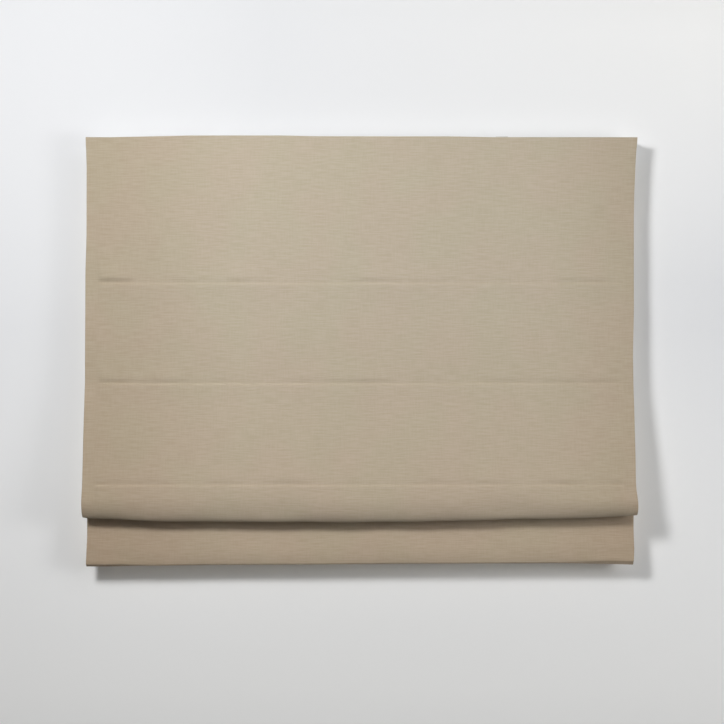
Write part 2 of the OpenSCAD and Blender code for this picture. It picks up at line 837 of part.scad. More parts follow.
// Last run of a lift cord, over the crest from the third rod line's ring into its anchor
module cord_tail(x) {
    c = row_point(2, ring_mid);
    p = row_point(3, anchor_mid);
    enter = [p[0], p[1] + anchor_h / 2 + 2 * cord_d];
    points = [[x, c[0], c[1] - 0.3], [x, c[0], c[1] - 1.2], [x, enter[0], enter[1]], [x, p[0], p[1]]];
    color([0.95, 0.94, 0.9])
        tube(points, [for (q = points) [1, 0, 0]], cord_d / 2, 10);
}

// The left cord's last run
module cord_tail_left() {
    cord_tail(cord_x[0]);
}

// The middle cord's last run
module cord_tail_centre() {
    cord_tail(cord_x[1]);
}

// The right cord's last run
module cord_tail_right() {
    cord_tail(cord_x[2]);
}

bar_y = front_y + face_t + lining_t + move_gap + cap_wall + bar_t / 2;
bar_z = bottom_z + hem_r + bar_h / 2;

// Flat bar in the hem that keeps the cloth straight and weighs it down
module bottom_bar() {
    color([0.75, 0.75, 0.76])
        along_x(-bar_half + cap_wall, bar_half - cap_wall)
            stadium(bar_h, bar_t, bar_y, bar_z);
}

// Moulded cap over an end of the bar
module bar_cap(x0, x1, hole0, hole1) {
    color([0.2, 0.2, 0.2])
        difference() {
            along_x(x0, x1)
                stadium(bar_h + 2 * cap_wall, bar_t + 2 * cap_wall, bar_y, bar_z);
            along_x(hole0, hole1)
                stadium(bar_h + push_gap, bar_t + push_gap, bar_y, bar_z);
        }
}

// The left bar cap
module bar_cap_left() {
    bar_cap(-bar_half, -bar_half + cap_l, -bar_half + cap_wall - push_gap / 2, -bar_half + cap_l + 1);
}

// The right bar cap
module bar_cap_right() {
    bar_cap(bar_half - cap_l, bar_half, bar_half - cap_l - 1, bar_half - cap_wall + push_gap / 2);
}

headrail();
left_end_cap();
control_housing();
control_cover();
chain_sprocket();
brake_spring();
drive_shaft();
shaft_end_bush();
cord_cradle_left();
cord_cradle_centre();
cord_cradle_right();
cord_spool_left();
cord_spool_centre();
cord_spool_right();
wound_cord_left();
wound_cord_centre();
wound_cord_right();
wall_bracket_left();
wall_bracket_right();
hook_tape();
loop_tape();
upper_face_cloth();
upper_lining();
fold_face_cloth();
fold_lining();
bottom_face_cloth();
bottom_lining();
rod_pocket_1();
rod_pocket_2();
rod_pocket_3();
rod_pocket_4();
stiffening_rod_1();
stiffening_rod_2();
stiffening_rod_3();
stiffening_rod_4();
cord_rings_1();
cord_rings_2();
cord_rings_3();
cord_anchors();
lift_cord_left();
lift_cord_centre();
lift_cord_right();
cord_tail_left();
cord_tail_centre();
cord_tail_right();
bottom_bar();
bar_cap_left();
bar_cap_right();
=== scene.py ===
"""Roman blind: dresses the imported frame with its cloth, cords, stitching, finishes and a plain stage."""
import math

import bmesh
import bpy
import numpy as np
from bpy.props import FloatProperty, FloatVectorProperty, PointerProperty
from mathutils import Matrix, Vector


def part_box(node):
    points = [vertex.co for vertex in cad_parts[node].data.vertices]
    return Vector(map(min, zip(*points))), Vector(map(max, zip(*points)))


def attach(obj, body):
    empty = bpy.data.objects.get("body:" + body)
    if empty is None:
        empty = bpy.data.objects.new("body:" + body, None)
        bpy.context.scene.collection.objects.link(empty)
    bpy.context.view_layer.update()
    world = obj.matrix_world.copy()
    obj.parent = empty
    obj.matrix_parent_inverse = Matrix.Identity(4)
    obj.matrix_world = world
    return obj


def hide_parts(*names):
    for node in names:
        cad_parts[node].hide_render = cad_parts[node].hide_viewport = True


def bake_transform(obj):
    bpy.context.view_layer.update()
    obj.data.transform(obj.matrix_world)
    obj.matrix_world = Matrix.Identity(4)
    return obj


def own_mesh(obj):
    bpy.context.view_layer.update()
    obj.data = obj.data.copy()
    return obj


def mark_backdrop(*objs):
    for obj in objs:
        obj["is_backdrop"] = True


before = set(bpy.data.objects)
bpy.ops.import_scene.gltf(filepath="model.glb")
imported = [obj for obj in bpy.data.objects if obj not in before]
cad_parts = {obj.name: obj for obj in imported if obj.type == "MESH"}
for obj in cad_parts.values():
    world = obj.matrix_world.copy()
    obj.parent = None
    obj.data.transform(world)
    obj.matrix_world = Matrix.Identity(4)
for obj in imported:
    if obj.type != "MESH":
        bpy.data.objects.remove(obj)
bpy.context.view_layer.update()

bl_info = {
    "name": "Roman blind",
    "version": (1, 0, 0),
    "blender": (4, 5, 0),
    "location": "3D View > Sidebar > Blind",
    "description": "Cloth, lining, lift cords, stitching, finishes and a plain stage for a roman blind",
    "category": "Add Mesh",
}

MM = 0.001

# Heights, and distances in front of the bottom panel, of the cloth's section, as the solids have them
CLOTH_LOW, CLOTH_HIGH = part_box("upper_face_cloth")
HEM_LOW, HEM_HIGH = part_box("bottom_face_cloth")
FOLD_LOW, FOLD_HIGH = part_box("fold_face_cloth")
FACE_T = 0.8 * MM
LINING_T = 0.5 * MM
CLOTH_T = 2 * FACE_T + LINING_T
FRONT_Y = CLOTH_HIGH[1] - CLOTH_T
HALF_W = CLOTH_HIGH[0]
TOP_Z = CLOTH_HIGH[2]
ROW_Z = (-302 * MM, -522 * MM, -742 * MM)
ROW_LEAN = (0.0, 9 * MM, FRONT_Y - FOLD_LOW[1] - 5 * MM)
FOLD_GAP = 8 * MM
FOLD_R = (FRONT_Y - FOLD_LOW[1] - FOLD_GAP) / 2
FOLD_H = 0.54 * (ROW_Z[2] - FOLD_LOW[2])
FOLD_MID = (FOLD_GAP + FOLD_R, FOLD_LOW[2] + FOLD_H)
# How much tighter than an oval the bottom of the fold bends; 1 is an oval
FOLD_POWER = 1.06
CREST_Z = FOLD_HIGH[2] - 20.1 * MM
ROW_4_Z = CREST_Z - 4 * MM
BOTTOM_Z = HEM_LOW[2]
HEM_H = 36 * MM
HEM_R = (HEM_HIGH[1] - FRONT_Y) / 2
HEADING_H = 24 * MM
SIDE_HEM_W = 26 * MM
POCKET_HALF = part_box("rod_pocket_1")[1][0]
# Below this height the cloth gathers when the blind is raised; the rest stays on the headrail
GATHER_Z = -36 * MM
# Each rod line has a band of cloth that stays flat on its pocket, this far above and below the rod
BAND = 11 * MM
CORD_X = {"left": -420 * MM, "centre": 0.0, "right": 420 * MM}


# Settings

def linear(code):
    """An sRGB hex colour as linear red, green, blue and alpha."""
    parts = [int(code[i:i + 2], 16) / 255 for i in (1, 3, 5)]
    return tuple(c / 12.92 if c <= 0.04045 else ((c + 0.055) / 1.055) ** 2.4 for c in parts) + (1.0,)


def length(name, description, default):
    """A length setting in metres."""
    return FloatProperty(name=name, description=description, default=default, unit="LENGTH", precision=4)


def colour(name, description, code):
    """A colour setting."""
    return FloatVectorProperty(name=name, description=description, default=linear(code), size=4,
                               min=0.0, max=1.0, subtype="COLOR")


class BlindSizes(bpy.types.PropertyGroup):
    """Sizes of the soft pieces that a user may change"""
    groove: length("Seam groove", "Depth of the groove that a rod seam pulls in the face", 3.4 * MM)
    pucker: length("Pucker", "Height of the small waves beside a seam", 0.3 * MM)
    swell: length("Swell", "Height of the slow waves across the cloth", 1.3 * MM)
    stitch: length("Stitch", "Length of one stitch along a seam", 3.2 * MM)
    thread: length("Thread", "Thickness of the sewing thread", 0.4 * MM)
    cord: length("Lift cord", "Thickness of a lift cord", 1.4 * MM)


class BlindColours(bpy.types.PropertyGroup):
    """Colours of the finishes"""
    cloth: colour("Cloth", "Face cloth between its slubs", "#BDB1A0")
    slub: colour("Slub", "Darker thick threads of the face cloth", "#A5977F")
    thread: colour("Thread", "Sewing thread of the seams", "#C3B7A3")
    lining: colour("Lining", "Lining at the back", "#EDE9DF")
    tape: colour("Tape", "Pocket and fastening tapes", "#EFEEEA")
    cord: colour("Cord", "Lift cords and ring threads", "#F0EEE8")
    rail: colour("Headrail", "Powder coat of the headrail", "#CDCDCA")
    moulding: colour("Mouldings", "Moulded end caps, housings and cradles", "#E9E9E6")
    wall: colour("Wall", "Wall behind the blind", "#E1E2E4")
    wall_far: colour("Far wall", "Wall away from the lamps, low down and at the upper right", "#F8F8F7")
    floor: colour("Floor", "Floor below the blind", "#DDDCDA")


# Mesh helpers

# Points closer than this are one, and edges sharper than this show as edges
MERGE = 0.01 * MM
SHARP = math.radians(60)


def smooth(a, b, t):
    """A soft step from 0 at a to 1 at b."""
    k = np.clip((t - a) / (b - a), 0.0, 1.0)
    return k * k * (3 - 2 * k)


def new_object(name, mesh, material):
    """A new object at the origin with one finish."""
    obj = bpy.data.objects.new(name, mesh)
    mesh.materials.clear()
    mesh.materials.append(material)
    bpy.context.scene.collection.objects.link(obj)
    return obj


def grid_mesh(name, points, uv):
    """A grid of faces through rows of points, with a UV map in metres."""
    rows, cols = points.shape[:2]
    bm = bmesh.new()
    bmesh.ops.create_grid(bm, x_segments=cols - 1, y_segments=rows - 1, size=1.0)
    mesh = bpy.data.meshes.new(name)
    bm.to_mesh(mesh)
    bm.free()
    if len(mesh.vertices) != rows * cols:
        raise RuntimeError(f"{name}: the grid has {len(mesh.vertices)} points, not {rows * cols}")
    mesh.vertices.foreach_set("co", points.reshape(-1).astype(np.float32))
    corners = np.empty(len(mesh.loops), np.int32)
    mesh.loops.foreach_get("vertex_index", corners)
    layer = mesh.uv_layers.new(name="weave")
    layer.data.foreach_set("uv", uv.reshape(-1, 2)[corners].astype(np.float32).ravel())
    mesh.update()
    return mesh


def joined(name, meshes):
    """Several meshes as one, with equal points merged."""
    bm = bmesh.new()
    for mesh in meshes:
        bm.from_mesh(mesh)
        bpy.data.meshes.remove(mesh)
    bmesh.ops.remove_doubles(bm, verts=bm.verts, dist=MERGE)
    whole = bpy.data.meshes.new(name)
    bm.to_mesh(whole)
    bm.free()
    return whole


def thicken(obj, thickness):
    """Gives a sheet its thickness behind its surface, and rounds its shading except at cut edges."""
    solid = obj.modifiers.new("thickness", "SOLIDIFY")
    solid.thickness = thickness
    solid.offset = -1.0
    solid.use_even_offset = True
    solid.thickness_clamp = 0.9
    depsgraph = bpy.context.evaluated_depsgraph_get()
    mesh = bpy.data.meshes.new_from_object(obj.evaluated_get(depsgraph))
    obj.modifiers.clear()
    sheet = obj.data
    obj.data = mesh
    bpy.data.meshes.remove(sheet)
    mesh.name = obj.name
    mesh.shade_smooth()
    mesh.set_sharp_from_angle(angle=SHARP)
    return obj


def tube_mesh(name, path, radius, sides):
    """A closed round tube along points, with a UV map that runs round and along it."""
    path = np.array(path, float)
    step = np.gradient(path, axis=0)
    step /= np.linalg.norm(step, axis=1)[:, None]
    side = np.array([1.0, 0.0, 0.0]) - step * step[:, :1]
    side /= np.linalg.norm(side, axis=1)[:, None]
    other = np.cross(step, side)
    turn = np.linspace(0, 2 * math.pi, sides + 1)
    ring = np.cos(turn)[None, :, None] * side[:, None] + np.sin(turn)[None, :, None] * other[:, None]
    points = path[:, None] + radius * ring
    run = np.concatenate([[0], np.cumsum(np.linalg.norm(np.diff(path, axis=0), axis=1))])
    uv = np.stack(np.broadcast_arrays(turn[None, :] * radius, run[:, None]), axis=-1)
    mesh = grid_mesh(name, points, uv)
    bm = bmesh.new()
    bm.from_mesh(mesh)
    bmesh.ops.remove_doubles(bm, verts=bm.verts, dist=MERGE)
    bmesh.ops.holes_fill(bm, edges=[e for e in bm.edges if e.is_boundary])
    bmesh.ops.recalc_face_normals(bm, faces=bm.faces)
    bm.to_mesh(mesh)
    bm.free()
    mesh.shade_smooth()
    mesh.set_sharp_from_angle(angle=SHARP)
    return mesh


# The cloth's shape

class ClothLine:
    """The front of the cloth seen from the side, from the heading's turned hem to the end of the bottom hem.

    A point has a distance before the bottom panel, a height, and the direction to the cloth's back."""

    STEP = 0.25 * MM
    # Arcs are drawn with a point for every so many degrees
    ARC_STEP, LEAST_STEPS = 4, 4
    # Lengths beside a seam, the least gap between two lengths, and what counts as no difference
    SEAM_STEPS = np.arange(-18, 14.1, 1.5) * MM
    LEAST_GAP, TINY = 0.35 * MM, 1e-9

    def __init__(self):
        self.points, marks = [], {}
        turn = CLOTH_T / 2
        self.line((-CLOTH_T, TOP_Z - HEADING_H))
        self.arc((-turn, TOP_Z - turn), turn, 180, 0)
        marks["top"] = len(self.points) - 1
        rows = [(f"row_{k + 1}", ROW_LEAN[k], ROW_Z[k]) for k in range(3)]
        for name, u, z in [("heading", 0, TOP_Z - HEADING_H), ("gather", 0, GATHER_Z)] + rows:
            self.line((u, z))
            marks[name] = len(self.points) - 1
        # Where the cloth meets the fold's oval, found with the oval drawn as a circle
        away = (ROW_LEAN[2] - FOLD_MID[0], (ROW_Z[2] - FOLD_MID[1]) * FOLD_R / FOLD_H)
        leave = math.degrees(math.atan2(away[1], away[0]) - math.acos(FOLD_R / math.hypot(*away)))
        self.arc(FOLD_MID, FOLD_R, leave, -90, FOLD_H)
        marks["fold"] = len(self.points) - 1
        self.arc(FOLD_MID, FOLD_R, -90, -180, FOLD_H)
        crest = (FOLD_GAP / 2, CREST_Z)
        self.arc(crest, FOLD_GAP / 2, 0, 90)
        marks["crest"] = len(self.points) - 1
        self.arc(crest, FOLD_GAP / 2, 90, 180)
        for name, z in (("row_4", ROW_4_Z), ("hem", BOTTOM_Z + HEM_H), ("turn", BOTTOM_Z + HEM_R)):
            self.line((0, z))
            marks[name] = len(self.points) - 1
        self.arc((-HEM_R, BOTTOM_Z + HEM_R), HEM_R, 0, -180)
        marks["turned"] = len(self.points) - 1
        self.line((-2 * HEM_R, BOTTOM_Z + HEM_H))
        marks["end"] = len(self.points) - 1
        points = np.array(self.points)
        run = np.concatenate([[0], np.cumsum(np.hypot(*np.diff(points, axis=0).T))])
        run -= run[marks["top"]] - math.pi * turn / 2
        self.mark = {name: run[i] for name, i in marks.items()}
        self.mark["start"] = run[0]
        for k in (1, 2, 3):
            self.mark[f"above_{k}"] = self.mark[f"row_{k}"] - BAND
            self.mark[f"below_{k}"] = self.mark[f"row_{k}"] + BAND
        self.run = np.arange(run[0], run[-1] + self.STEP, self.STEP)
        self.u = np.interp(self.run, run, points[:, 0])
        self.z = np.interp(self.run, run, points[:, 1])
        du, dz = np.gradient(self.u), np.gradient(self.z)
        size = np.hypot(du, dz)
        self.back_u, self.back_z = dz / size, -du / size

    def line(self, to):
        """Runs straight to a point."""
        self.points.append(to)

    def arc(self, mid, r, a, b, high=None):
        """Runs round an arc of a circle, or of an oval with its own height, from angle a to b in degrees.

        The lower half of an oval narrows to a tighter bend."""
        steps = max(int(abs(b - a) / self.ARC_STEP), self.LEAST_STEPS)
        for t in np.radians(np.linspace(a, b, steps + 1)):
            out, rise = math.cos(t), math.sin(t)
            power = FOLD_POWER if high and rise < 0 else 1.0
            self.points.append((mid[0] + r * math.copysign(abs(out) ** power, out),
                                mid[1] + (high or r) * math.copysign(abs(rise) ** power, rise)))

    def at(self, s):
        """Distance, height and the direction to the back at lengths along the line."""
        return [np.interp(s, self.run, v) for v in (self.u, self.z, self.back_u, self.back_z)]

    def samples(self, first, last, step):
        """Lengths along the line between two marks, close together at the seams and bends."""
        m = self.mark
        a, b = m[first], m[last]
        values = list(np.linspace(a, b, max(int(round((b - a) / step)), 2) + 1))
        for seam in SEAMS:
            values += list(m[seam] + self.SEAM_STEPS)
        # The fold, the crest, the hem's turn and the top edge: from, to, and how many lengths
        bends = ((m["fold"] - 76 * MM, m["crest"] - 14 * MM, 46),
                 (m["crest"] - 8 * MM, m["crest"] + 8 * MM, 15),
                 (m["turn"] - 8 * MM, m["turned"] + 4 * MM, 49),
                 (-2 * MM, 3 * MM, 9))
        for start, stop, count in bends:
            values += list(np.linspace(start, stop, count))
        values = np.array(sorted(v for v in values if a - self.TINY <= v <= b + self.TINY))
        keep = np.concatenate([[True], np.diff(values) > self.LEAST_GAP])
        values = values[keep]
        values[0], values[-1] = a, b
        return values


LINE = ClothLine()

# Lines read from the photograph, as places along the width and lifts, or heights and shifts to the right:
# places and heights in metres, lifts and shifts in millimetres
TOP_LIFT = ((-0.60, -0.6), (-0.55, -1.0), (-0.46, 0.8), (-0.38, 2.8), (-0.17, 2.8), (-0.09, 1.2),
            (0.20, 0.8), (0.28, -0.8), (0.60, -1.0))
FOLD_LIFT = ((-0.605, 9.0), (-0.592, 5.0), (-0.565, 4.2), (-0.52, 2.3), (-0.48, 0.8), (-0.39, 0.1),
             (-0.33, -0.6), (-0.28, -1.8), (-0.13, -2.1), (-0.088, -3.0), (-0.04, -2.2), (0.086, -1.8),
             (0.15, 0.1), (0.24, 2.1), (0.32, 3.2), (0.43, 4.9), (0.48, 6.6), (0.52, 8.6), (0.563, 11.0),
             (0.59, 12.4), (0.605, 15.0))
HEM_LIFT = ((-0.60, -2.4), (-0.53, -2.2), (-0.46, -3.6), (-0.34, -1.6), (-0.13, -0.8), (0.08, 0.9),
            (0.30, 1.9), (0.46, 2.6), (0.54, 4.4), (0.57, 4.0), (0.60, 2.8))
LEFT_SHIFT = ((0.018, -1.6), (-0.05, 0.6), (-0.20, 0.2), (-0.28, -2.2), (-0.50, -1.6), (-0.65, -1.7),
              (-0.742, -1.2), (-0.80, -2.5))
RIGHT_SHIFT = ((0.018, 6.6), (0.0, 4.6), (-0.04, 2.0), (-0.10, -0.4), (-0.16, -1.6), (-0.36, -1.8),
               (-0.46, -4.6), (-0.56, -4.1), (-0.66, -4.3), (-0.742, -5.0), (-0.80, 0.0))
PANEL_LEFT = ((-0.756, 0.5), (-0.82, 1.6), (-0.85, 2.0), (-0.90, 0.6), (-0.918, -0.6))
PANEL_RIGHT = ((-0.756, -2.0), (-0.84, -2.4), (-0.89, -1.4), (-0.918, -3.4))
# Such a line is read as the mean of places this far on either side
SOFT_REACH = (-0.012, -0.006, 0.0, 0.006, 0.012)
# The sides' shift fades out quickly towards the middle of the cloth
SHIFT_POWER = 4
# The top edge's lift fades from here below the top to just above where the cloth gathers; the fold's is full
# from just above its bottom, and fades behind it on the way to the crest
TOP_FADE = (8 * MM, -1 * MM)
FALL_IN, FALL_OUT = -8 * MM, (4 * MM, -16 * MM)

# Long waves: height, length across, length along and phase, of the free cloth and of the fold's front
SWELLS = ((0.45, 0.46, 0.90, 0.4), (0.40, -0.33, 0.52, 2.1), (0.30, 0.21, -0.61, 4.0),
          (0.25, 0.14, 0.38, 1.2), (0.20, -0.17, -0.30, 5.1))
ROLLS = ((1.2, 0.52, 9.0, 0.9), (0.8, 0.27, 9.0, 2.4), (0.5, 0.155, 9.0, 4.4))
# The free cloth swells from here below the top, and fully from there
SWELL_FROM, SWELL_FULL = 30 * MM, 160 * MM
# Share of the swell that dies down behind the fold, and share that the bottom panel has
FOLD_CALM, PANEL_SWELL = 0.75, 0.8
FOLD_CALM_RUN, PANEL_SWELL_RUN = 40 * MM, 50 * MM
# The swell dies down towards the hem and the seams
HEM_CALM = (-20 * MM, 10 * MM)
SEAM_CALM = 40 * MM
# The fold's front rolls from the third seam on, and no more near the fold's bottom
ROLL_FROM, ROLL_FULL = 8 * MM, -40 * MM
ROLL_DOWN = (-34 * MM, -6 * MM)

SEAMS = ("row_1", "row_2", "row_3")
# How far each seam lies above the middle of its rod, in millimetres
SEAM_UP = (1.0, 1.0, 2.5)
# A seam fades out at the ends of its pocket
SEAM_END = (-10 * MM, 2 * MM)
# Depth above and below a seam as a share of its groove: its mean, and waves with a height, a length and
# a shift from seam to seam
ABOVE_MEAN, ABOVE_WAVES = 0.35, ((0.30, 0.062, 2.1), (0.25, 0.023, 0.9))
BELOW_MEAN, BELOW_WAVES = 0.85, ((0.15, 0.041, 1.7),)
LEAST_ABOVE = 0.05
# How far from a seam the cloth comes down above it, swells out below it, and is flat again, in millimetres
ABOVE_REACH, BELOW_REACH, RELIEF_REACH = 8.0, 3.2, 34.0
# Puckers: their pitch, how it wanders, how their strength changes, and how far from the seam they lie
PUCKER_PITCH = 0.019
PUCKER_WANDER, WANDER_LENGTH = 2.5, 0.083
PUCKER_LEAST, PUCKER_MORE, STRENGTH_LENGTH = 0.45, 0.55, 0.15
PUCKER_REACH, PUCKER_GAP = 9.0, 3.0
# Deeper tucks above the seams: place, reach, depth as a share of the groove
TUCKS = (((-0.54, 0.055, 1.3), (0.0, 0.05, 0.5), (0.53, 0.03, 0.4)),
         ((-0.535, 0.06, 0.6), (0.0, 0.08, 0.3), (0.52, 0.05, 1.0)),
         ((-0.32, 0.04, 0.5), (0.44, 0.05, 0.8)))

# The panel stands out most this far above the hem's turn, and by this much; it comes in again over these
# lengths above and below, in millimetres
STAND_UP, STAND_OUT, STAND_ABOVE, STAND_BELOW = 22, 4.4, 36, 26
STAND_MEAN, STAND_WAVE, STAND_LENGTH = 0.88, 0.12, 0.06
# Where the hem's ends gape: from, fully open at, and in millimetres the flare's end, its depth and the
# turned edge's drop
GAPES = ((0.44, 0.55, 0.0, 2.8, 4.0), (-0.47, -0.55, 1.0, 2.2, 2.6))
# The flare grows between these places beside the hem's turn and ends within a millimetre, and the edge drops
# between those
FLARE_RISE, FLARE_CUT = (-18 * MM, -1 * MM), 1
DROP_RUN = (-1 * MM, 8 * MM)
# Angles round the side edges in degrees, and where the flat hem behind them starts and how many places it has
EDGE_ANGLES = np.arange(30, 181, 30)
HEM_FROM, HEM_PLACES = 4 * MM, 5


def along(pairs, t):
    """Reads a line of places and millimetres softly at t."""
    places, values = np.array(sorted(pairs)).T
    soft = 0.0
    for shift in SOFT_REACH:
        soft = soft + np.interp(t + shift, places, values)
    return soft / len(SOFT_REACH) * MM


def waves(x, s, terms):
    """A sum of long waves, each with a height, a length across, a length along and a phase."""
    total = 0.0
    for high, across, down, phase in terms:
        total = total + high * np.sin(2 * math.pi * (x / across + s / down) + phase)
    return total


def uneven(x, k, mean, terms):
    """A depth along seam k that changes from place to place."""
    total = mean
    for high, long, shift in terms:
        total = total + high * np.sin(x / long + shift * k)
    return total


def side_shift(x, s):
    """How far the side edges of the cloth lie to the right of straight."""
    z = LINE.at(s)[1]
    upper = s < LINE.mark["crest"]
    left = np.where(upper, along(LEFT_SHIFT, z), along(PANEL_LEFT, z))
    right = np.where(upper, along(RIGHT_SHIFT, z), along(PANEL_RIGHT, z))
    return np.where(x < 0, left, right) * (np.abs(x) / HALF_W) ** SHIFT_POWER


def swelling(x, s, sizes):
    """Slow waves of the free cloth, and the rolls of the fold's front."""
    m = LINE.mark
    fold, row_4, hem = m["fold"], m["row_4"], m["hem"]
    free = smooth(SWELL_FROM, SWELL_FULL, s) * (1 - FOLD_CALM * smooth(fold, fold + FOLD_CALM_RUN, s))
    free = np.where(s > row_4, PANEL_SWELL * smooth(row_4, row_4 + PANEL_SWELL_RUN, s), free)
    free = free * (1 - smooth(hem + HEM_CALM[0], hem + HEM_CALM[1], s))
    for seam in (*SEAMS, "row_4"):
        free = free * (1 - np.exp(-((s - m[seam]) / SEAM_CALM) ** 2))
    roll = smooth(m["row_3"] + ROLL_FROM, fold + ROLL_FULL, s)
    roll = roll * (1 - smooth(fold + ROLL_DOWN[0], fold + ROLL_DOWN[1], s))
    return sizes.swell * waves(x, s, SWELLS) * free + MM * waves(x, s, ROLLS) * roll


def seam_relief(x, s, k, sizes):
    """Seam k draws the cloth in: it comes down to the seam slowly, swells out close below, and puckers."""
    t = (s - LINE.mark[SEAMS[k]]) / MM + SEAM_UP[k]
    above = uneven(x, k, ABOVE_MEAN, ABOVE_WAVES)
    for place, reach, depth in TUCKS[k]:
        above = above + depth * np.exp(-((x - place) / reach) ** 2)
    below = uneven(x, k, BELOW_MEAN, BELOW_WAVES)
    drawn = np.where(t < 0, np.maximum(above, LEAST_ABOVE) * (1 - np.exp(-(t / ABOVE_REACH) ** 2)),
                     below * (1 - np.exp(-(t / BELOW_REACH) ** 2))) * np.exp(-(t / RELIEF_REACH) ** 2)
    turn = 2 * math.pi * x / PUCKER_PITCH + PUCKER_WANDER * np.sin(x / WANDER_LENGTH + k)
    ripple = np.sin(turn) * (PUCKER_LEAST + PUCKER_MORE * np.sin(x / STRENGTH_LENGTH + 2 * k) ** 2)
    beside = np.exp(-np.abs(t) / PUCKER_REACH) * (1 - np.exp(-(t / PUCKER_GAP) ** 2))
    return sizes.groove * drawn + sizes.pucker * ripple * beside


def panel_stand(x, s):
    """The panel stands out a little above the bar's pocket, and comes in again towards the bottom edge."""
    t = (s - LINE.mark["turn"]) / MM + STAND_UP
    stand = np.where(t < 0, np.exp(-(t / STAND_ABOVE) ** 2), np.maximum(1 - (t / STAND_BELOW) ** 2, 0.0))
    stand = stand * (s > LINE.mark["row_4"])
    return STAND_OUT * MM * (STAND_MEAN + STAND_WAVE * np.sin(x / STAND_LENGTH)) * stand


def lifts(x, s):
    """How far the cloth lies above its plain section at the top edge, the fold and the bottom edge."""
    m = LINE.mark
    top = 1 - smooth(TOP_FADE[0], m["gather"] + TOP_FADE[1], s)
    fall = smooth(m["row_3"], m["fold"] + FALL_IN, s)
    fall = fall * (1 - smooth(m["fold"] + FALL_OUT[0], m["crest"] + FALL_OUT[1], s))
    bottom = smooth(m["row_4"], m["turn"], s)
    return along(TOP_LIFT, x) * top + along(FOLD_LIFT, x) * fall + along(HEM_LIFT, x) * bottom


def drape(x, s, sizes):
    """How the cloth hangs away from its plain section: sideways, to the front, and up."""
    inside = 1 - smooth(POCKET_HALF + SEAM_END[0], POCKET_HALF + SEAM_END[1], np.abs(x))
    front = swelling(x, s, sizes)
    for k in range(len(SEAMS)):
        front = front + inside * seam_relief(x, s, k, sizes)
    front = front + panel_stand(x, s)
    up = lifts(x, s)
    # The hem's ends gape: the front flares out a little over its turned edge, which hangs lower
    turn = LINE.mark["turn"]
    for start, stop, flare_end, depth, drop in GAPES:
        gape = smooth(start, stop, x) if stop > start else 1 - smooth(stop, start, x)
        lip = smooth(turn + FLARE_RISE[0], turn + FLARE_RISE[1], s)
        lip = lip * (1 - smooth(turn + flare_end * MM, turn + (flare_end + FLARE_CUT) * MM, s))
        front = front + gape * depth * MM * lip
        up = up - gape * drop * MM * smooth(turn + DROP_RUN[0], turn + DROP_RUN[1], s)
    return side_shift(x, s), front, up


def columns(wrap, step=5 * MM):
    """Places across the cloth: distance from its middle, step to the back, and length along the thread.

    With wrap, the side hems turn round both edges to the back."""
    turn = CLOTH_T / 2
    front = HALF_W - turn if wrap else HALF_W
    count = int(round(2 * front / step))
    x = list(np.linspace(-front, front, count + 1))
    back = [0.0] * len(x)
    run = list(x)
    if wrap:
        angles = np.radians(EDGE_ANGLES)
        bend = [(front + turn * math.sin(a), turn * (1 - math.cos(a)), front + turn * a) for a in angles]
        flat = [(HALF_W - d, CLOTH_T, front + turn * math.pi + d - turn)
                for d in np.linspace(HEM_FROM, SIDE_HEM_W, HEM_PLACES)]
        edge = bend + flat
        x = [-p[0] for p in reversed(edge)] + x + [p[0] for p in edge]
        back = [p[1] for p in reversed(edge)] + back + [p[1] for p in edge]
        run = [-p[2] for p in reversed(edge)] + run + [p[2] for p in edge]
    return np.array(x), np.array(back), np.array(run)


def cloth_grid(name, first, last, sizes, wrap=False, behind=0.0, facing=1, step=8 * MM):
    """One layer of the cloth between two marks. facing 1 shows its front, and -1 its back."""
    x, back, run = columns(wrap)
    if behind:
        x = x * (HALF_W - FACE_T) / HALF_W
    s = LINE.samples(first, last, step)[::-facing][:, None]
    x, back, run = x[None, :], back[None, :] + behind, run[None, :]
    u, z, back_u, back_z = LINE.at(s)
    sideways, front, up = drape(x, s, sizes)
    off = back - front
    place = x + sideways, FRONT_Y - u - back_u * off, z + back_z * off + up
    points = np.stack(np.broadcast_arrays(*place), axis=-1)
    uv = np.stack(np.broadcast_arrays(run, s), axis=-1)
    return grid_mesh(name, points, uv)


def hang(obj, part):
    """Makes a cloth piece follow the bodies that hold it."""
    kind, _, row = part.partition("_")
    if part == "heading":
        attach(obj, "headrail_unit")
    elif kind == "upper":
        # Gathers between the band above it and the band below it as the rods rise
        k = int(row)
        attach(obj, f"rod_row_{k - 1}" if k > 1 else "headrail_unit")
        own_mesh(obj)
    elif kind == "band":
        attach(obj, f"rod_row_{row}")
    elif part == "fold_front":
        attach(obj, "rod_row_3")
    elif part == "fold_back":
        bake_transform(obj)
    else:
        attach(obj, "hem_row")


# Each run of cloth: its name, where it starts and ends, the solid it replaces, and what holds it
RUNS = (
    ("heading", "top", "gather", "upper", ("headrail",)),
    ("upper_1", "gather", "above_1", "upper", ("headrail", "stiffening_rod_1")),
    ("band_1", "above_1", "below_1", "upper", ("stiffening_rod_1",)),
    ("upper_2", "below_1", "above_2", "upper", ("stiffening_rod_1", "stiffening_rod_2")),
    ("band_2", "above_2", "below_2", "upper", ("stiffening_rod_2",)),
    ("upper_3", "below_2", "above_3", "upper", ("stiffening_rod_2", "stiffening_rod_3")),
    ("fold_front", "above_3", "fold", "fold", ("stiffening_rod_3",)),
    ("fold_back", "fold", "crest", "fold", ("stiffening_rod_3", "stiffening_rod_4")),
    ("panel", "crest", "hem", "bottom", ("stiffening_rod_4", "bottom_bar")),
)


# Finishes

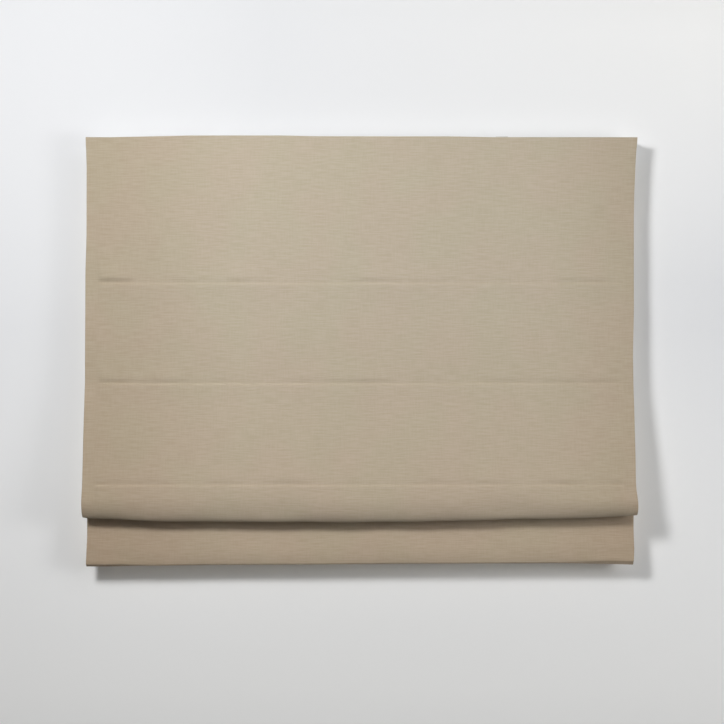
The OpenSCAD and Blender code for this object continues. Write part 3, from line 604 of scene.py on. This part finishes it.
def add(tree, kind, inputs=None, **settings):
    """Adds a node with its settings, values and links."""
    node = tree.nodes.new(kind)
    for key, value in settings.items():
        setattr(node, key, value)
    for key, value in (inputs or {}).items():
        if isinstance(value, bpy.types.NodeSocket):
            tree.links.new(value, node.inputs[key])
        else:
            node.inputs[key].default_value = value
    return node


def finish(name, **values):
    """A new material with a Principled shader. Returns it, its tree and the shader."""
    material = bpy.data.materials.new(name)
    material.use_nodes = True
    tree = material.node_tree
    shader = tree.nodes["Principled BSDF"]
    for key, value in values.items():
        shader.inputs[key.replace("_", " ")].default_value = value
    return material, tree, shader


def bands(size):
    """The Wave node's scale for bands of this size in metres."""
    return 2 * math.pi / (20 * size)


def plain_linen(colours):
    """Plain-woven linen-look cloth: matt, with short thick weft threads that show as faint dashes,
    a soft drift of colour across the piece, painted shade towards its sides and bottom,
    and a little fuzz at grazing angles."""
    material, tree, shader = finish("plain woven linen", Roughness=0.92, Specular_IOR_Level=0.2,
                                    Sheen_Weight=0.12, Sheen_Roughness=0.6)
    uv = add(tree, "ShaderNodeUVMap", uv_map="weave")
    # Slubs are 20 to 50 mm long and about 1 mm high; they are drawn 2.4 mm high to show in the render
    slub_long, slub_high = 36 * MM, 2.4 * MM
    long = add(tree, "ShaderNodeMapping", {"Vector": uv.outputs[0],
                                           "Scale": (1 / slub_long, 1 / slub_high, 1)})
    slub = add(tree, "ShaderNodeTexNoise", {"Vector": long.outputs[0], "Scale": 1.0, "Detail": 1.0,
                                            "Roughness": 0.5}, noise_dimensions="2D")
    # Thick warp threads, drawn 3 mm wide, show less than the slubs
    warp_wide, warp_tall, warp_share = 3 * MM, 30 * MM, 0.28
    tall = add(tree, "ShaderNodeMapping", {"Vector": uv.outputs[0],
                                           "Scale": (1 / warp_wide, 1 / warp_tall, 1)})
    warp = add(tree, "ShaderNodeTexNoise", {"Vector": tall.outputs[0], "Scale": 1.0, "Detail": 1.0},
               noise_dimensions="2D")
    threads = add(tree, "ShaderNodeMath", {0: slub.outputs[0], 1: 1 - warp_share}, operation="MULTIPLY")
    threads = add(tree, "ShaderNodeMath", {0: warp.outputs[0], 1: warp_share, 2: threads.outputs[0]},
                  operation="MULTIPLY_ADD")
    dash = add(tree, "ShaderNodeMapRange", {"Value": threads.outputs[0], "From Min": 0.34, "From Max": 0.68,
                                            "To Min": 0.0, "To Max": 0.34})
    base = add(tree, "ShaderNodeMix", {0: dash.outputs[0], 6: tuple(colours.cloth), 7: tuple(colours.slub)},
               data_type="RGBA")
    # Dye takes a little warmer and a little greener in patches of about 120 mm
    patch_size = 120 * MM
    drift = add(tree, "ShaderNodeTexNoise", {"Vector": uv.outputs[0], "Scale": 1 / patch_size, "Detail": 1.0},
                noise_dimensions="2D")
    tint = add(tree, "ShaderNodeMapRange", {"Value": drift.outputs[0], "From Min": 0.35, "From Max": 0.65})
    patch = add(tree, "ShaderNodeMix", {0: tint.outputs[0], 6: linear("#FFFEFC"), 7: linear("#FDFFFB")},
                data_type="RGBA")
    dyed = add(tree, "ShaderNodeMix", {0: 1.0, 6: base.outputs[2], 7: patch.outputs[2]},
               data_type="RGBA", blend_type="MULTIPLY")
    # Painted shade: towards the side hems and the bottom the cloth is drawn a shade darker and warmer, for
    # light that falls off there
    unshaded_mid, unshaded_half = 60 * MM, 280 * MM
    low_shade_from, low_shade_full = 350 * MM, 1100 * MM
    place = add(tree, "ShaderNodeSeparateXYZ", {0: uv.outputs[0]})
    apart = add(tree, "ShaderNodeMath", {0: place.outputs["X"], 1: unshaded_mid}, operation="SUBTRACT")
    apart = add(tree, "ShaderNodeMath", {0: apart.outputs[0]}, operation="ABSOLUTE")
    sides = add(tree, "ShaderNodeMapRange", {"Value": apart.outputs[0], "From Min": unshaded_half,
                                             "From Max": HALF_W + unshaded_mid}, interpolation_type="SMOOTHSTEP")
    lower = add(tree, "ShaderNodeMapRange", {"Value": place.outputs["Y"], "From Min": low_shade_from,
                                             "From Max": low_shade_full})
    shaded = add(tree, "ShaderNodeMix", {0: sides.outputs[0], 6: dyed.outputs[2], 7: linear("#F0ECE8")},
                 data_type="RGBA", blend_type="MULTIPLY")
    shaded = add(tree, "ShaderNodeMix", {0: lower.outputs[0], 6: shaded.outputs[2], 7: linear("#FAF2EC")},
                 data_type="RGBA", blend_type="MULTIPLY")
    tree.links.new(shaded.outputs[2], shader.inputs["Base Color"])
    # Threads are about 0.6 mm apart; they are drawn 1.8 mm apart so that the weave shows close up
    thread_gap, slub_rise = 1.8 * MM, 1.4
    weft = add(tree, "ShaderNodeTexWave", {"Vector": uv.outputs[0], "Scale": bands(thread_gap),
                                           "Distortion": 1.2, "Detail": 1.0}, bands_direction="Y")
    ends = add(tree, "ShaderNodeTexWave", {"Vector": uv.outputs[0], "Scale": bands(thread_gap),
                                           "Distortion": 0.8, "Detail": 1.0}, bands_direction="X")
    weave = add(tree, "ShaderNodeMath", {0: weft.outputs["Fac"], 1: ends.outputs["Fac"]},
                operation="MULTIPLY")
    high = add(tree, "ShaderNodeMath", {0: slub.outputs[0], 1: slub_rise, 2: weave.outputs[0]},
               operation="MULTIPLY_ADD")
    bump = add(tree, "ShaderNodeBump", {"Height": high.outputs[0], "Strength": 0.35, "Distance": 0.25 * MM})
    tree.links.new(bump.outputs[0], shader.inputs["Normal"])
    return material


def cotton_lining(colours):
    """Bleached cotton sateen: pale and smooth, with a fine diagonal rib."""
    material, tree, shader = finish("cotton sateen lining", Roughness=0.8, Sheen_Weight=0.08,
                                    Specular_IOR_Level=0.25)
    uv = add(tree, "ShaderNodeUVMap", uv_map="weave")
    # Bleach takes unevenly in patches of about 50 mm
    patch_size = 50 * MM
    drift = add(tree, "ShaderNodeTexNoise", {"Vector": uv.outputs[0], "Scale": 1 / patch_size, "Detail": 3.0},
                noise_dimensions="2D")
    shade = add(tree, "ShaderNodeMapRange", {"Value": drift.outputs[0], "From Min": 0.3, "From Max": 0.7,
                                             "To Max": 0.25})
    base = add(tree, "ShaderNodeMix", {0: shade.outputs[0], 6: tuple(colours.lining), 7: linear("#E0DACB")},
               data_type="RGBA")
    tree.links.new(base.outputs[2], shader.inputs["Base Color"])
    # The rib is 0.4 mm wide; it is drawn 1.6 mm wide so that it shows close up
    rib = 1.6 * MM
    twill = add(tree, "ShaderNodeTexWave", {"Vector": uv.outputs[0], "Scale": bands(rib), "Distortion": 0.6},
                bands_direction="DIAGONAL")
    bump = add(tree, "ShaderNodeBump", {"Height": twill.outputs["Fac"], "Strength": 0.25,
                                        "Distance": 0.15 * MM})
    tree.links.new(bump.outputs[0], shader.inputs["Normal"])
    return material


def spun_thread(name, code, pitch):
    """Spun polyester thread or braided cord: soft, with the twist of its strands."""
    material, tree, shader = finish(name, Roughness=0.75, Sheen_Weight=0.1, Specular_IOR_Level=0.3)
    place = add(tree, "ShaderNodeTexCoord")
    twist = add(tree, "ShaderNodeTexWave", {"Vector": place.outputs["Object"], "Scale": bands(pitch),
                                            "Distortion": 1.5}, bands_direction="DIAGONAL")
    shade = add(tree, "ShaderNodeMapRange", {"Value": twist.outputs["Fac"], "To Max": 0.35})
    # Painted shade: the thread is drawn darker in bands along its twist, for the shade between its strands
    strand_shade = tuple(c * 0.7 for c in code[:3]) + (1.0,)
    base = add(tree, "ShaderNodeMix", {0: shade.outputs[0], 6: tuple(code), 7: strand_shade}, data_type="RGBA")
    tree.links.new(base.outputs[2], shader.inputs["Base Color"])
    bump = add(tree, "ShaderNodeBump", {"Height": twist.outputs["Fac"], "Strength": 0.5,
                                        "Distance": 0.1 * MM})
    tree.links.new(bump.outputs[0], shader.inputs["Normal"])
    return material


def woven_tape(name, code, pitch, depth):
    """Woven polyester tape: white, matt, with close ribs across it."""
    material, tree, shader = finish(name, Roughness=0.85, Sheen_Weight=0.1, Specular_IOR_Level=0.25)
    place = add(tree, "ShaderNodeTexCoord")
    ribs = add(tree, "ShaderNodeTexWave", {"Vector": place.outputs["Object"], "Scale": bands(pitch),
                                           "Distortion": 0.4}, bands_direction="X")
    rows = add(tree, "ShaderNodeTexWave", {"Vector": place.outputs["Object"], "Scale": bands(pitch),
                                           "Distortion": 0.4}, bands_direction="Z")
    weave = add(tree, "ShaderNodeMath", {0: ribs.outputs["Fac"], 1: rows.outputs["Fac"]},
                operation="MULTIPLY")
    # Painted shade: the tape is drawn greyer in the hollows between its ribs
    shade = add(tree, "ShaderNodeMapRange", {"Value": weave.outputs[0], "To Min": 0.3, "To Max": 0.0})
    base = add(tree, "ShaderNodeMix", {0: shade.outputs[0], 6: tuple(code), 7: linear("#CFCCC4")},
               data_type="RGBA")
    tree.links.new(base.outputs[2], shader.inputs["Base Color"])
    bump = add(tree, "ShaderNodeBump", {"Height": weave.outputs[0], "Strength": 0.5, "Distance": depth})
    tree.links.new(bump.outputs[0], shader.inputs["Normal"])
    return material


def grained(name, code, dark, grain, rough, spread, depth, stretch=(1, 1, 1), **values):
    """A hard finish with fine grain: its colour, roughness and surface vary softly with one noise."""
    material, tree, shader = finish(name, **values)
    place = add(tree, "ShaderNodeTexCoord")
    turned = add(tree, "ShaderNodeMapping", {"Vector": place.outputs["Object"], "Scale": stretch})
    noise = add(tree, "ShaderNodeTexNoise", {"Vector": turned.outputs[0], "Scale": 1 / grain,
                                             "Detail": 3.0})
    shade = add(tree, "ShaderNodeMapRange", {"Value": noise.outputs[0], "From Min": 0.3, "From Max": 0.7})
    base = add(tree, "ShaderNodeMix", {0: shade.outputs[0], 6: tuple(code), 7: linear(dark)},
               data_type="RGBA")
    tree.links.new(base.outputs[2], shader.inputs["Base Color"])
    gloss = add(tree, "ShaderNodeMapRange", {"Value": noise.outputs[0], "From Min": 0.3, "From Max": 0.7,
                                             "To Min": rough, "To Max": rough + spread})
    tree.links.new(gloss.outputs[0], shader.inputs["Roughness"])
    bump = add(tree, "ShaderNodeBump", {"Height": noise.outputs[0], "Strength": 0.3, "Distance": depth})
    tree.links.new(bump.outputs[0], shader.inputs["Normal"])
    return material


def dress(material, *nodes):
    """Gives solids of the frame a finish."""
    for name in nodes:
        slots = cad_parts[name].material_slots
        if not slots:
            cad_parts[name].data.materials.append(material)
        for slot in slots:
            slot.material = material


# Operators

class BLIND_OT_stage(bpy.types.Operator):
    """Sets the wall, the floor, the lamps, the sky light and the camera"""
    bl_idname = "blind.stage"
    bl_label = "Stage"

    CAMERA_AT = (0.0033, FRONT_Y - 3.3, -0.475)
    LENS, SENSOR = 75.0, 36.0
    # Middle and size of the wall and of the floor
    WALL = ((0, 1 * MM, 0.2), (12, 5.6))
    FLOOR = ((0, -2.0, -2.6), (12, 4.0))
    # Heights and places across between which the paint turns lighter
    LOW_FADE, HIGH_FADE, RIGHT_FADE = (-0.4, -1.2), (-0.3, 0.25), (-0.2, 0.75)
    # Away from this place the paint starts to show pale at one distance, and is palest at the next, by GLOW
    GLOW_MIDDLE, GLOW_FROM, GLOW_FULL, GLOW = (0.0, 0.0, -0.45), 1.15, 2.6, 0.6
    # Place, size and power of each lamp, and where they all point
    LAMPS = {"key lamp": ((-1.0, -2.0, 0.55), 0.46, 43.5),
             "side fill": ((1.75, -1.55, -0.4), 0.8, 17),
             "top fill": ((1.5, -2.6, 1.6), 1.0, 11),
             "back fill": ((0.6, 3.0, 1.0), 2.5, 60)}
    MIDDLE = (0, FRONT_Y, -0.45)
    # Strength of the sky as light, and as it shows
    SKY_LIGHT, SKY_SHOWN = 0.07, 0.86

    def paint(self, name, near, far):
        """Matt paint, a little lighter away from the lamps, low down and at the upper right, to look even.

        It shows from the room only, and lets lamps behind the wall through."""
        material, tree, shader = finish("painted " + name, Roughness=0.9, Specular_IOR_Level=0.1)
        is_wall = float(name == "wall")
        place = add(tree, "ShaderNodeTexCoord")
        axes = add(tree, "ShaderNodeSeparateXYZ", {0: place.outputs["Object"]})
        fades = []
        for axis, (start, stop) in (("Z", self.LOW_FADE), ("Z", self.HIGH_FADE), ("X", self.RIGHT_FADE)):
            fade = add(tree, "ShaderNodeMapRange", {"Value": axes.outputs[axis], "From Min": start,
                                                    "From Max": stop})
            fades.append(fade.outputs[0])
        low, high, right = fades
        corner = add(tree, "ShaderNodeMath", {0: high, 1: right}, operation="MULTIPLY")
        away = add(tree, "ShaderNodeMath", {0: low, 1: corner.outputs[0]}, operation="MAXIMUM")
        base = add(tree, "ShaderNodeMix", {0: away.outputs[0], 6: tuple(near), 7: tuple(far)},
                   data_type="RGBA")
        # The floor shows pale, and throws little light back up
        path = add(tree, "ShaderNodeLightPath")
        camera = path.outputs["Is Camera Ray"]
        seen = add(tree, "ShaderNodeMath", {0: camera, 1: is_wall}, operation="MAXIMUM")
        shown = add(tree, "ShaderNodeMix", {0: seen.outputs[0], 6: linear("#8C8C8A"), 7: base.outputs[2]},
                    data_type="RGBA")
        tree.links.new(shown.outputs[2], shader.inputs["Base Color"])
        # Far from the blind, where the lamps don't reach, the paint still shows pale
        far_off = add(tree, "ShaderNodeVectorMath", {0: place.outputs["Object"], 1: self.GLOW_MIDDLE},
                      operation="DISTANCE")
        glow = add(tree, "ShaderNodeMapRange", {"Value": far_off.outputs["Value"], "From Min": self.GLOW_FROM,
                                                "From Max": self.GLOW_FULL, "To Max": self.GLOW})
        pale = add(tree, "ShaderNodeMath", {0: glow.outputs[0], 1: camera}, operation="MULTIPLY")
        tree.links.new(base.outputs[2], shader.inputs["Emission Color"])
        tree.links.new(pale.outputs[0], shader.inputs["Emission Strength"])
        side = add(tree, "ShaderNodeNewGeometry")
        behind = add(tree, "ShaderNodeMath", {0: path.outputs["Is Shadow Ray"], 1: is_wall},
                     operation="MULTIPLY")
        through = add(tree, "ShaderNodeMath", {0: side.outputs["Backfacing"], 1: behind.outputs[0]},
                      operation="MAXIMUM")
        clear = add(tree, "ShaderNodeBsdfTransparent")
        both = add(tree, "ShaderNodeMixShader", {0: through.outputs[0], 1: shader.outputs[0],
                                                 2: clear.outputs[0]})
        tree.links.new(both.outputs[0], tree.nodes["Material Output"].inputs["Surface"])
        return material

    def plane(self, name, middle, size, material):
        """The wall, which stands up, or the floor."""
        bm = bmesh.new()
        bmesh.ops.create_grid(bm, x_segments=1, y_segments=1, size=0.5)
        turn = Matrix.Rotation(math.radians(90), 4, "X") if name == "wall" else Matrix.Identity(4)
        put = Matrix.Translation(middle) @ turn @ Matrix.Diagonal((*size, 1, 1))
        bmesh.ops.transform(bm, matrix=put, verts=bm.verts)
        mesh = bpy.data.meshes.new(name)
        bm.to_mesh(mesh)
        bm.free()
        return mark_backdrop(new_object(name, mesh, material))

    def lamp(self, name, place, size, power):
        """A square soft lamp that points at the middle of the blind."""
        data = bpy.data.lights.new(name, "AREA")
        data.shape, data.size, data.energy = "SQUARE", size, power
        lamp = bpy.data.objects.new(name, data)
        lamp.location = place
        lamp.rotation_euler = (Vector(self.MIDDLE) - Vector(place)).to_track_quat("-Z", "Y").to_euler()
        bpy.context.scene.collection.objects.link(lamp)

    def execute(self, context):
        scene, colours = context.scene, context.scene.blind_colours
        scene.view_settings.view_transform = "Standard"
        self.plane("wall", *self.WALL, self.paint("wall", colours.wall, colours.wall_far))
        self.plane("floor", *self.FLOOR, self.paint("floor", colours.floor, colours.floor))
        for name, (place, size, power) in self.LAMPS.items():
            self.lamp(name, place, size, power)
        world = scene.world or bpy.data.worlds.new("sky light")
        scene.world = world
        world.use_nodes = True
        tree = world.node_tree
        sky = tree.nodes["Background"]
        path = add(tree, "ShaderNodeLightPath")
        seen = add(tree, "ShaderNodeMath", {0: path.outputs["Is Camera Ray"],
                                            1: path.outputs["Is Glossy Ray"]}, operation="MAXIMUM")
        level = add(tree, "ShaderNodeMapRange", {"Value": seen.outputs[0], "To Min": self.SKY_LIGHT,
                                                 "To Max": self.SKY_SHOWN})
        sky.inputs["Color"].default_value = linear("#FFFFFF")
        tree.links.new(level.outputs[0], sky.inputs["Strength"])
        data = bpy.data.cameras.new("camera")
        data.lens, data.sensor_width = self.LENS, self.SENSOR
        camera = bpy.data.objects.new("camera", data)
        camera.location = self.CAMERA_AT
        camera.rotation_euler = (math.radians(90), 0, 0)
        scene.collection.objects.link(camera)
        scene.camera = camera
        return {"FINISHED"}


class BLIND_OT_lift_cords(bpy.types.Operator):
    """Makes the lift cords: fixed above, gathering below, and over the crest into the anchors"""
    bl_idname = "blind.lift_cords"
    bl_label = "Lift cords"

    # Points along a route, and sides round the cord
    STEP, LEAST_POINTS, SIDES = 4 * MM, 14, 10
    # How softly the cord bends at the rings and at the anchor
    RING_BEND, ANCHOR_BEND = 4 * MM, 1.2 * MM
    # The last run leaves the third ring downwards, and comes over the crest this high above the anchor
    RING_DROP, CREST_RISE = 1.2 * MM, 2.8 * MM

    def middle(self, node):
        """The middle of a solid, from back to front and in height."""
        low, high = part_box(node)
        return (low[1] + high[1]) / 2, (low[2] + high[2]) / 2

    def path(self, x, points, bend):
        """Close points along a route, eased round its corners."""
        points = np.array(points)
        run = np.concatenate([[0], np.cumsum(np.hypot(*np.diff(points, axis=0).T))])
        t = np.linspace(0, run[-1], max(int(run[-1] / self.STEP), self.LEAST_POINTS))
        eased = []
        for values in points.T:
            near = [np.interp(np.clip(t + d, 0, run[-1]), run, values) for d in (-bend, 0, bend)]
            eased.append(sum(near) / len(near))
        return np.stack([np.full_like(t, x), *eased], axis=1)

    def execute(self, context):
        sizes, colours = context.scene.blind_sizes, context.scene.blind_colours
        braid = spun_thread("braided polyester cord", colours.cord, 1.6 * MM)
        # From the spool through the rings, and the last run over the crest into the anchor
        rings = [self.middle(f"cord_rings_{k}") for k in (1, 2, 3)]
        anchor = self.middle("cord_anchors")
        route = [(rings[0][0], self.middle("drive_shaft")[1]), *rings]
        tail_route = [rings[2], (rings[2][0], rings[2][1] - self.RING_DROP),
                      (anchor[0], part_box("cord_anchors")[1][2] + self.CREST_RISE), anchor]
        for side, x in CORD_X.items():
            whole = self.path(x, route, self.RING_BEND)
            fixed = whole[whole[:, 2] > GATHER_Z]
            split = np.array([[x, fixed[-1, 1], GATHER_Z]])
            fixed = np.concatenate([fixed, split])
            free = np.concatenate([split, whole[whole[:, 2] < GATHER_Z]])
            for name, path in (("top", fixed), ("run", free)):
                piece = f"lift_cord_{side}_{name}"
                cord = new_object(piece, tube_mesh(piece, path, sizes.cord / 2, self.SIDES), braid)
                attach(cord, "headrail_unit")
                if name == "run":
                    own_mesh(cord)
                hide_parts(f"lift_cord_{side}")
            piece = f"cord_end_{side}"
            tail = self.path(x, tail_route, self.ANCHOR_BEND)
            cord = new_object(piece, tube_mesh(piece, tail, sizes.cord / 2, self.SIDES), braid)
            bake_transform(cord)
            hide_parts(f"cord_tail_{side}")
        dress(braid, *(f"wound_cord_{side}" for side in CORD_X))
        return {"FINISHED"}


class BLIND_OT_face_cloth(bpy.types.Operator):
    """Makes the face cloth from its heading to the bottom hem, with side hems turned to the back"""
    bl_idname = "blind.face_cloth"
    bl_label = "Face cloth"

    def execute(self, context):
        sizes = context.scene.blind_sizes
        linen = plain_linen(context.scene.blind_colours)
        for part, first, last, solid, held in RUNS:
            name = f"face_cloth_{part}"
            if part == "heading":
                parts = [cloth_grid(name, "start", "heading", sizes),
                         cloth_grid(name, "heading", "gather", sizes, wrap=True)]
            elif part == "panel":
                parts = [cloth_grid(name, "crest", "hem", sizes, wrap=True),
                         cloth_grid(name, "hem", "end", sizes)]
            else:
                parts = [cloth_grid(name, first, last, sizes, wrap=True)]
            cloth = thicken(new_object(name, joined(name, parts), linen), FACE_T)
            hang(cloth, part)
            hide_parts(f"{solid}_face_cloth")
        return {"FINISHED"}


class BLIND_OT_lining(bpy.types.Operator):
    """Makes the lining behind the face cloth"""
    bl_idname = "blind.lining"
    bl_label = "Lining"

    # The lining is drawn a little thinner than its solid, so that it stays clear of the face cloth
    THIN = 0.8

    def execute(self, context):
        sizes = context.scene.blind_sizes
        sateen = cotton_lining(context.scene.blind_colours)
        for part, first, last, solid, held in RUNS:
            name = f"lining_{part}"
            mesh = cloth_grid(name, first, last, sizes, behind=FACE_T + LINING_T, facing=-1)
            lining = thicken(new_object(name, mesh, sateen), LINING_T * self.THIN)
            hang(lining, part)
            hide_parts(f"{solid}_lining")
        return {"FINISHED"}


class BLIND_OT_stitching(bpy.types.Operator):
    """Sews the rod seams and ties the rings to their pockets"""
    bl_idname = "blind.stitching"
    bl_label = "Stitching"

    # The seams start this far inside the pockets' ends, and their stitches lie this proud of the cloth
    END_GAP, PROUD = 4 * MM, 0.1 * MM
    # Share of a stitch's length that its thread takes up
    LONG_SHARE = 0.78
    # Loops that tie a ring: places beside the cord, radius, thread's radius, distance behind the ring's front
    TIE_SHIFTS = (-1.2 * MM, -0.4 * MM, 0.4 * MM, 1.2 * MM)
    TIE_R, TIE_THREAD_R, TIE_BACK = 1.5 * MM, 0.22 * MM, 0.2 * MM

    def stitches(self, name, places, size, material):
        """Short stitches, each a small rounded bar that lies along the seam."""
        bm = bmesh.new()
        for place in places:
            bmesh.ops.create_uvsphere(bm, u_segments=6, v_segments=4, radius=0.5,
                                      matrix=Matrix.Translation(place) @ Matrix.Diagonal((*size, 1)))
        mesh = bpy.data.meshes.new(name)
        bm.to_mesh(mesh)
        bm.free()
        mesh.shade_smooth()
        return new_object(name, mesh, material)

    def execute(self, context):
        sizes, colours = context.scene.blind_sizes, context.scene.blind_colours
        thread = spun_thread("polyester sewing thread", colours.thread, 0.8 * MM)
        white = spun_thread("white sewing thread", colours.cord, 0.8 * MM)
        for k in (1, 2, 3):
            s = np.full(1, LINE.mark[f"row_{k}"])
            x = np.arange(-POCKET_HALF + self.END_GAP, POCKET_HALF - self.END_GAP, sizes.stitch)
            u, z, back_u, back_z = LINE.at(s)
            sideways, front, up = drape(x, s, sizes)
            out = front + self.PROUD
            place = x + sideways, FRONT_Y - u + back_u * out, z - back_z * out + up
            places = np.stack(np.broadcast_arrays(*place), axis=-1)
            size = (self.LONG_SHARE * sizes.stitch, sizes.thread, sizes.thread)
            seam = self.stitches(f"seam_stitches_{k}", places, size, thread)
            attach(seam, f"rod_row_{k}")
            self.ties(k, white)
        return {"FINISHED"}

    def ties(self, k, material):
        """Loops of thread that tie each ring of a rod line to its pocket."""
        name = f"ring_ties_{k}"
        low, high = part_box(f"cord_rings_{k}")
        bm = bmesh.new()
        for x in CORD_X.values():
            for shift in self.TIE_SHIFTS:
                centre = Vector((x + shift, low[1] + self.TIE_BACK, (low[2] + high[2]) / 2))
                ring = bmesh.ops.create_circle(bm, segments=5, radius=self.TIE_THREAD_R,
                                               matrix=Matrix.Translation(centre + Vector((0, 0, self.TIE_R)))
                                               @ Matrix.Rotation(math.radians(90), 4, "X"))
                edges = list({e for v in ring["verts"] for e in v.link_edges})
                bmesh.ops.spin(bm, geom=ring["verts"] + edges, cent=centre, axis=(1, 0, 0), angle=2 * math.pi,
                               steps=12, use_merge=True)
        bmesh.ops.remove_doubles(bm, verts=bm.verts, dist=0.005 * MM)
        bmesh.ops.recalc_face_normals(bm, faces=bm.faces)
        mesh = bpy.data.meshes.new(name)
        bm.to_mesh(mesh)
        bm.free()
        mesh.shade_smooth()
        ties = new_object(name, mesh, material)
        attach(ties, f"rod_row_{k}")


class BLIND_OT_rods_and_rings(bpy.types.Operator):
    """Finishes the rods, their pockets, the rings and the anchors"""
    bl_idname = "blind.rods_and_rings"
    bl_label = "Rods and rings"

    def execute(self, context):
        colours = context.scene.blind_colours
        dress(woven_tape("woven pocket tape", colours.tape, 1.4 * MM, 0.15 * MM),
              *(f"rod_pocket_{k}" for k in (1, 2, 3, 4)))
        # Pultruded glass fibre: cream, a little shiny, with fibres along the rod
        dress(grained("pultruded glass fibre", linear("#DCDCC6"), "#C6C6AC", 3 * MM, 0.35, 0.15, 0.05 * MM,
                      stretch=(0.05, 1, 1)), *(f"stiffening_rod_{k}" for k in (1, 2, 3, 4)))
        # Moulded nylon: white, half gloss, very even
        dress(grained("moulded nylon", linear("#F2F2EE"), "#E6E6E0", 6 * MM, 0.28, 0.12, 0.03 * MM, IOR=1.53),
              "cord_rings_1", "cord_rings_2", "cord_rings_3", "cord_anchors")
        return {"FINISHED"}


class BLIND_OT_headrail(bpy.types.Operator):
    """Finishes the headrail, its mouldings, the tapes and the wall brackets"""
    bl_idname = "blind.headrail"
    bl_label = "Headrail"

    def execute(self, context):
        colours = context.scene.blind_colours
        # Powder coat on extruded aluminium: pale grey satin with a fine orange peel
        dress(grained("pale grey powder coat", colours.rail, "#C3C3C0", 1.6 * MM, 0.38, 0.1, 0.04 * MM,
                      IOR=1.5), "headrail")
        # Moulded ABS: white, satin, with a fine spark-eroded grain
        dress(grained("moulded ABS", colours.moulding, "#DDDDD9", 1.2 * MM, 0.42, 0.14, 0.06 * MM, IOR=1.53),
              "left_end_cap", "control_housing", "control_cover", *(f"cord_cradle_{side}" for side in CORD_X))
        dress(woven_tape("woven loop tape", colours.tape, 1.2 * MM, 0.3 * MM), "loop_tape")
        dress(woven_tape("nylon hook tape", colours.tape, 1.6 * MM, 0.5 * MM), "hook_tape")
        # Enamelled steel sheet: pale grey, half gloss
        dress(grained("enamelled steel", linear("#D6D6D4"), "#C8C8C6", 5 * MM, 0.32, 0.15, 0.04 * MM,
                      IOR=1.5), "wall_bracket_left", "wall_bracket_right")
        return {"FINISHED"}


class BLIND_OT_drive(bpy.types.Operator):
    """Finishes the shaft, spools, sprocket and brake spring"""
    bl_idname = "blind.drive"
    bl_label = "Drive"

    def execute(self, context):
        # Moulded acetal: off-white, waxy
        dress(grained("moulded acetal", linear("#E2E2DC"), "#D3D3CB", 4 * MM, 0.3, 0.12, 0.03 * MM, IOR=1.48),
              "chain_sprocket", "shaft_end_bush", *(f"cord_spool_{side}" for side in CORD_X))
        # Zinc-plated drawn steel: bright grey with faint draw lines along the bar
        dress(grained("zinc plated steel", linear("#B9BBBD"), "#9FA1A3", 1.5 * MM, 0.26, 0.2, 0.03 * MM,
                      stretch=(0.02, 1, 1), Metallic=1.0), "drive_shaft")
        # Oiled spring wire: darker and smoother than plate
        dress(grained("spring steel wire", linear("#8C8D90"), "#77787B", 2 * MM, 0.22, 0.16, 0.02 * MM,
                      Metallic=1.0), "brake_spring")
        return {"FINISHED"}


class BLIND_OT_bottom_bar(bpy.types.Operator):
    """Finishes the bottom bar and its caps"""
    bl_idname = "blind.bottom_bar"
    bl_label = "Bottom bar"

    def execute(self, context):
        # Extruded aluminium as it leaves the mill: soft grey with fine lines along the bar
        dress(grained("mill finish aluminium", linear("#C3C4C4"), "#B0B1B2", 1.5 * MM, 0.3, 0.2, 0.03 * MM,
                      stretch=(0.02, 1, 1), Metallic=1.0), "bottom_bar")
        # Moulded polyethylene: black, soft sheen
        dress(grained("black polyethylene", linear("#1B1B1B"), "#262626", 3 * MM, 0.45, 0.15, 0.05 * MM,
                      IOR=1.5), "bar_cap_left", "bar_cap_right")
        return {"FINISHED"}


class BLIND_PT_panel(bpy.types.Panel):
    """Lists the steps that dress the blind, and their settings"""
    bl_idname = "BLIND_PT_panel"
    bl_label = "Roman blind"
    bl_space_type = "VIEW_3D"
    bl_region_type = "UI"
    bl_category = "Blind"

    def draw(self, context):
        for step in STEPS:
            self.layout.operator(step.bl_idname)
        for group in (context.scene.blind_sizes, context.scene.blind_colours):
            for name in group.__annotations__:
                self.layout.prop(group, name)


STEPS = (BLIND_OT_stage, BLIND_OT_lift_cords, BLIND_OT_face_cloth, BLIND_OT_lining, BLIND_OT_stitching,
         BLIND_OT_rods_and_rings, BLIND_OT_headrail, BLIND_OT_drive, BLIND_OT_bottom_bar)
CLASSES = (BlindSizes, BlindColours, *STEPS, BLIND_PT_panel)


def register():
    """Registers the classes and the settings."""
    for cls in CLASSES:
        bpy.utils.register_class(cls)
    bpy.types.Scene.blind_sizes = PointerProperty(type=BlindSizes)
    bpy.types.Scene.blind_colours = PointerProperty(type=BlindColours)


def unregister():
    """Takes the settings and the classes out again."""
    del bpy.types.Scene.blind_colours
    del bpy.types.Scene.blind_sizes
    for cls in reversed(CLASSES):
        bpy.utils.unregister_class(cls)


def main():
    """Dresses the blind step by step."""
    register()
    for step in STEPS:
        group, name = step.bl_idname.split(".")
        getattr(getattr(bpy.ops, group), name)()


if __name__ == "__main__":
    main()
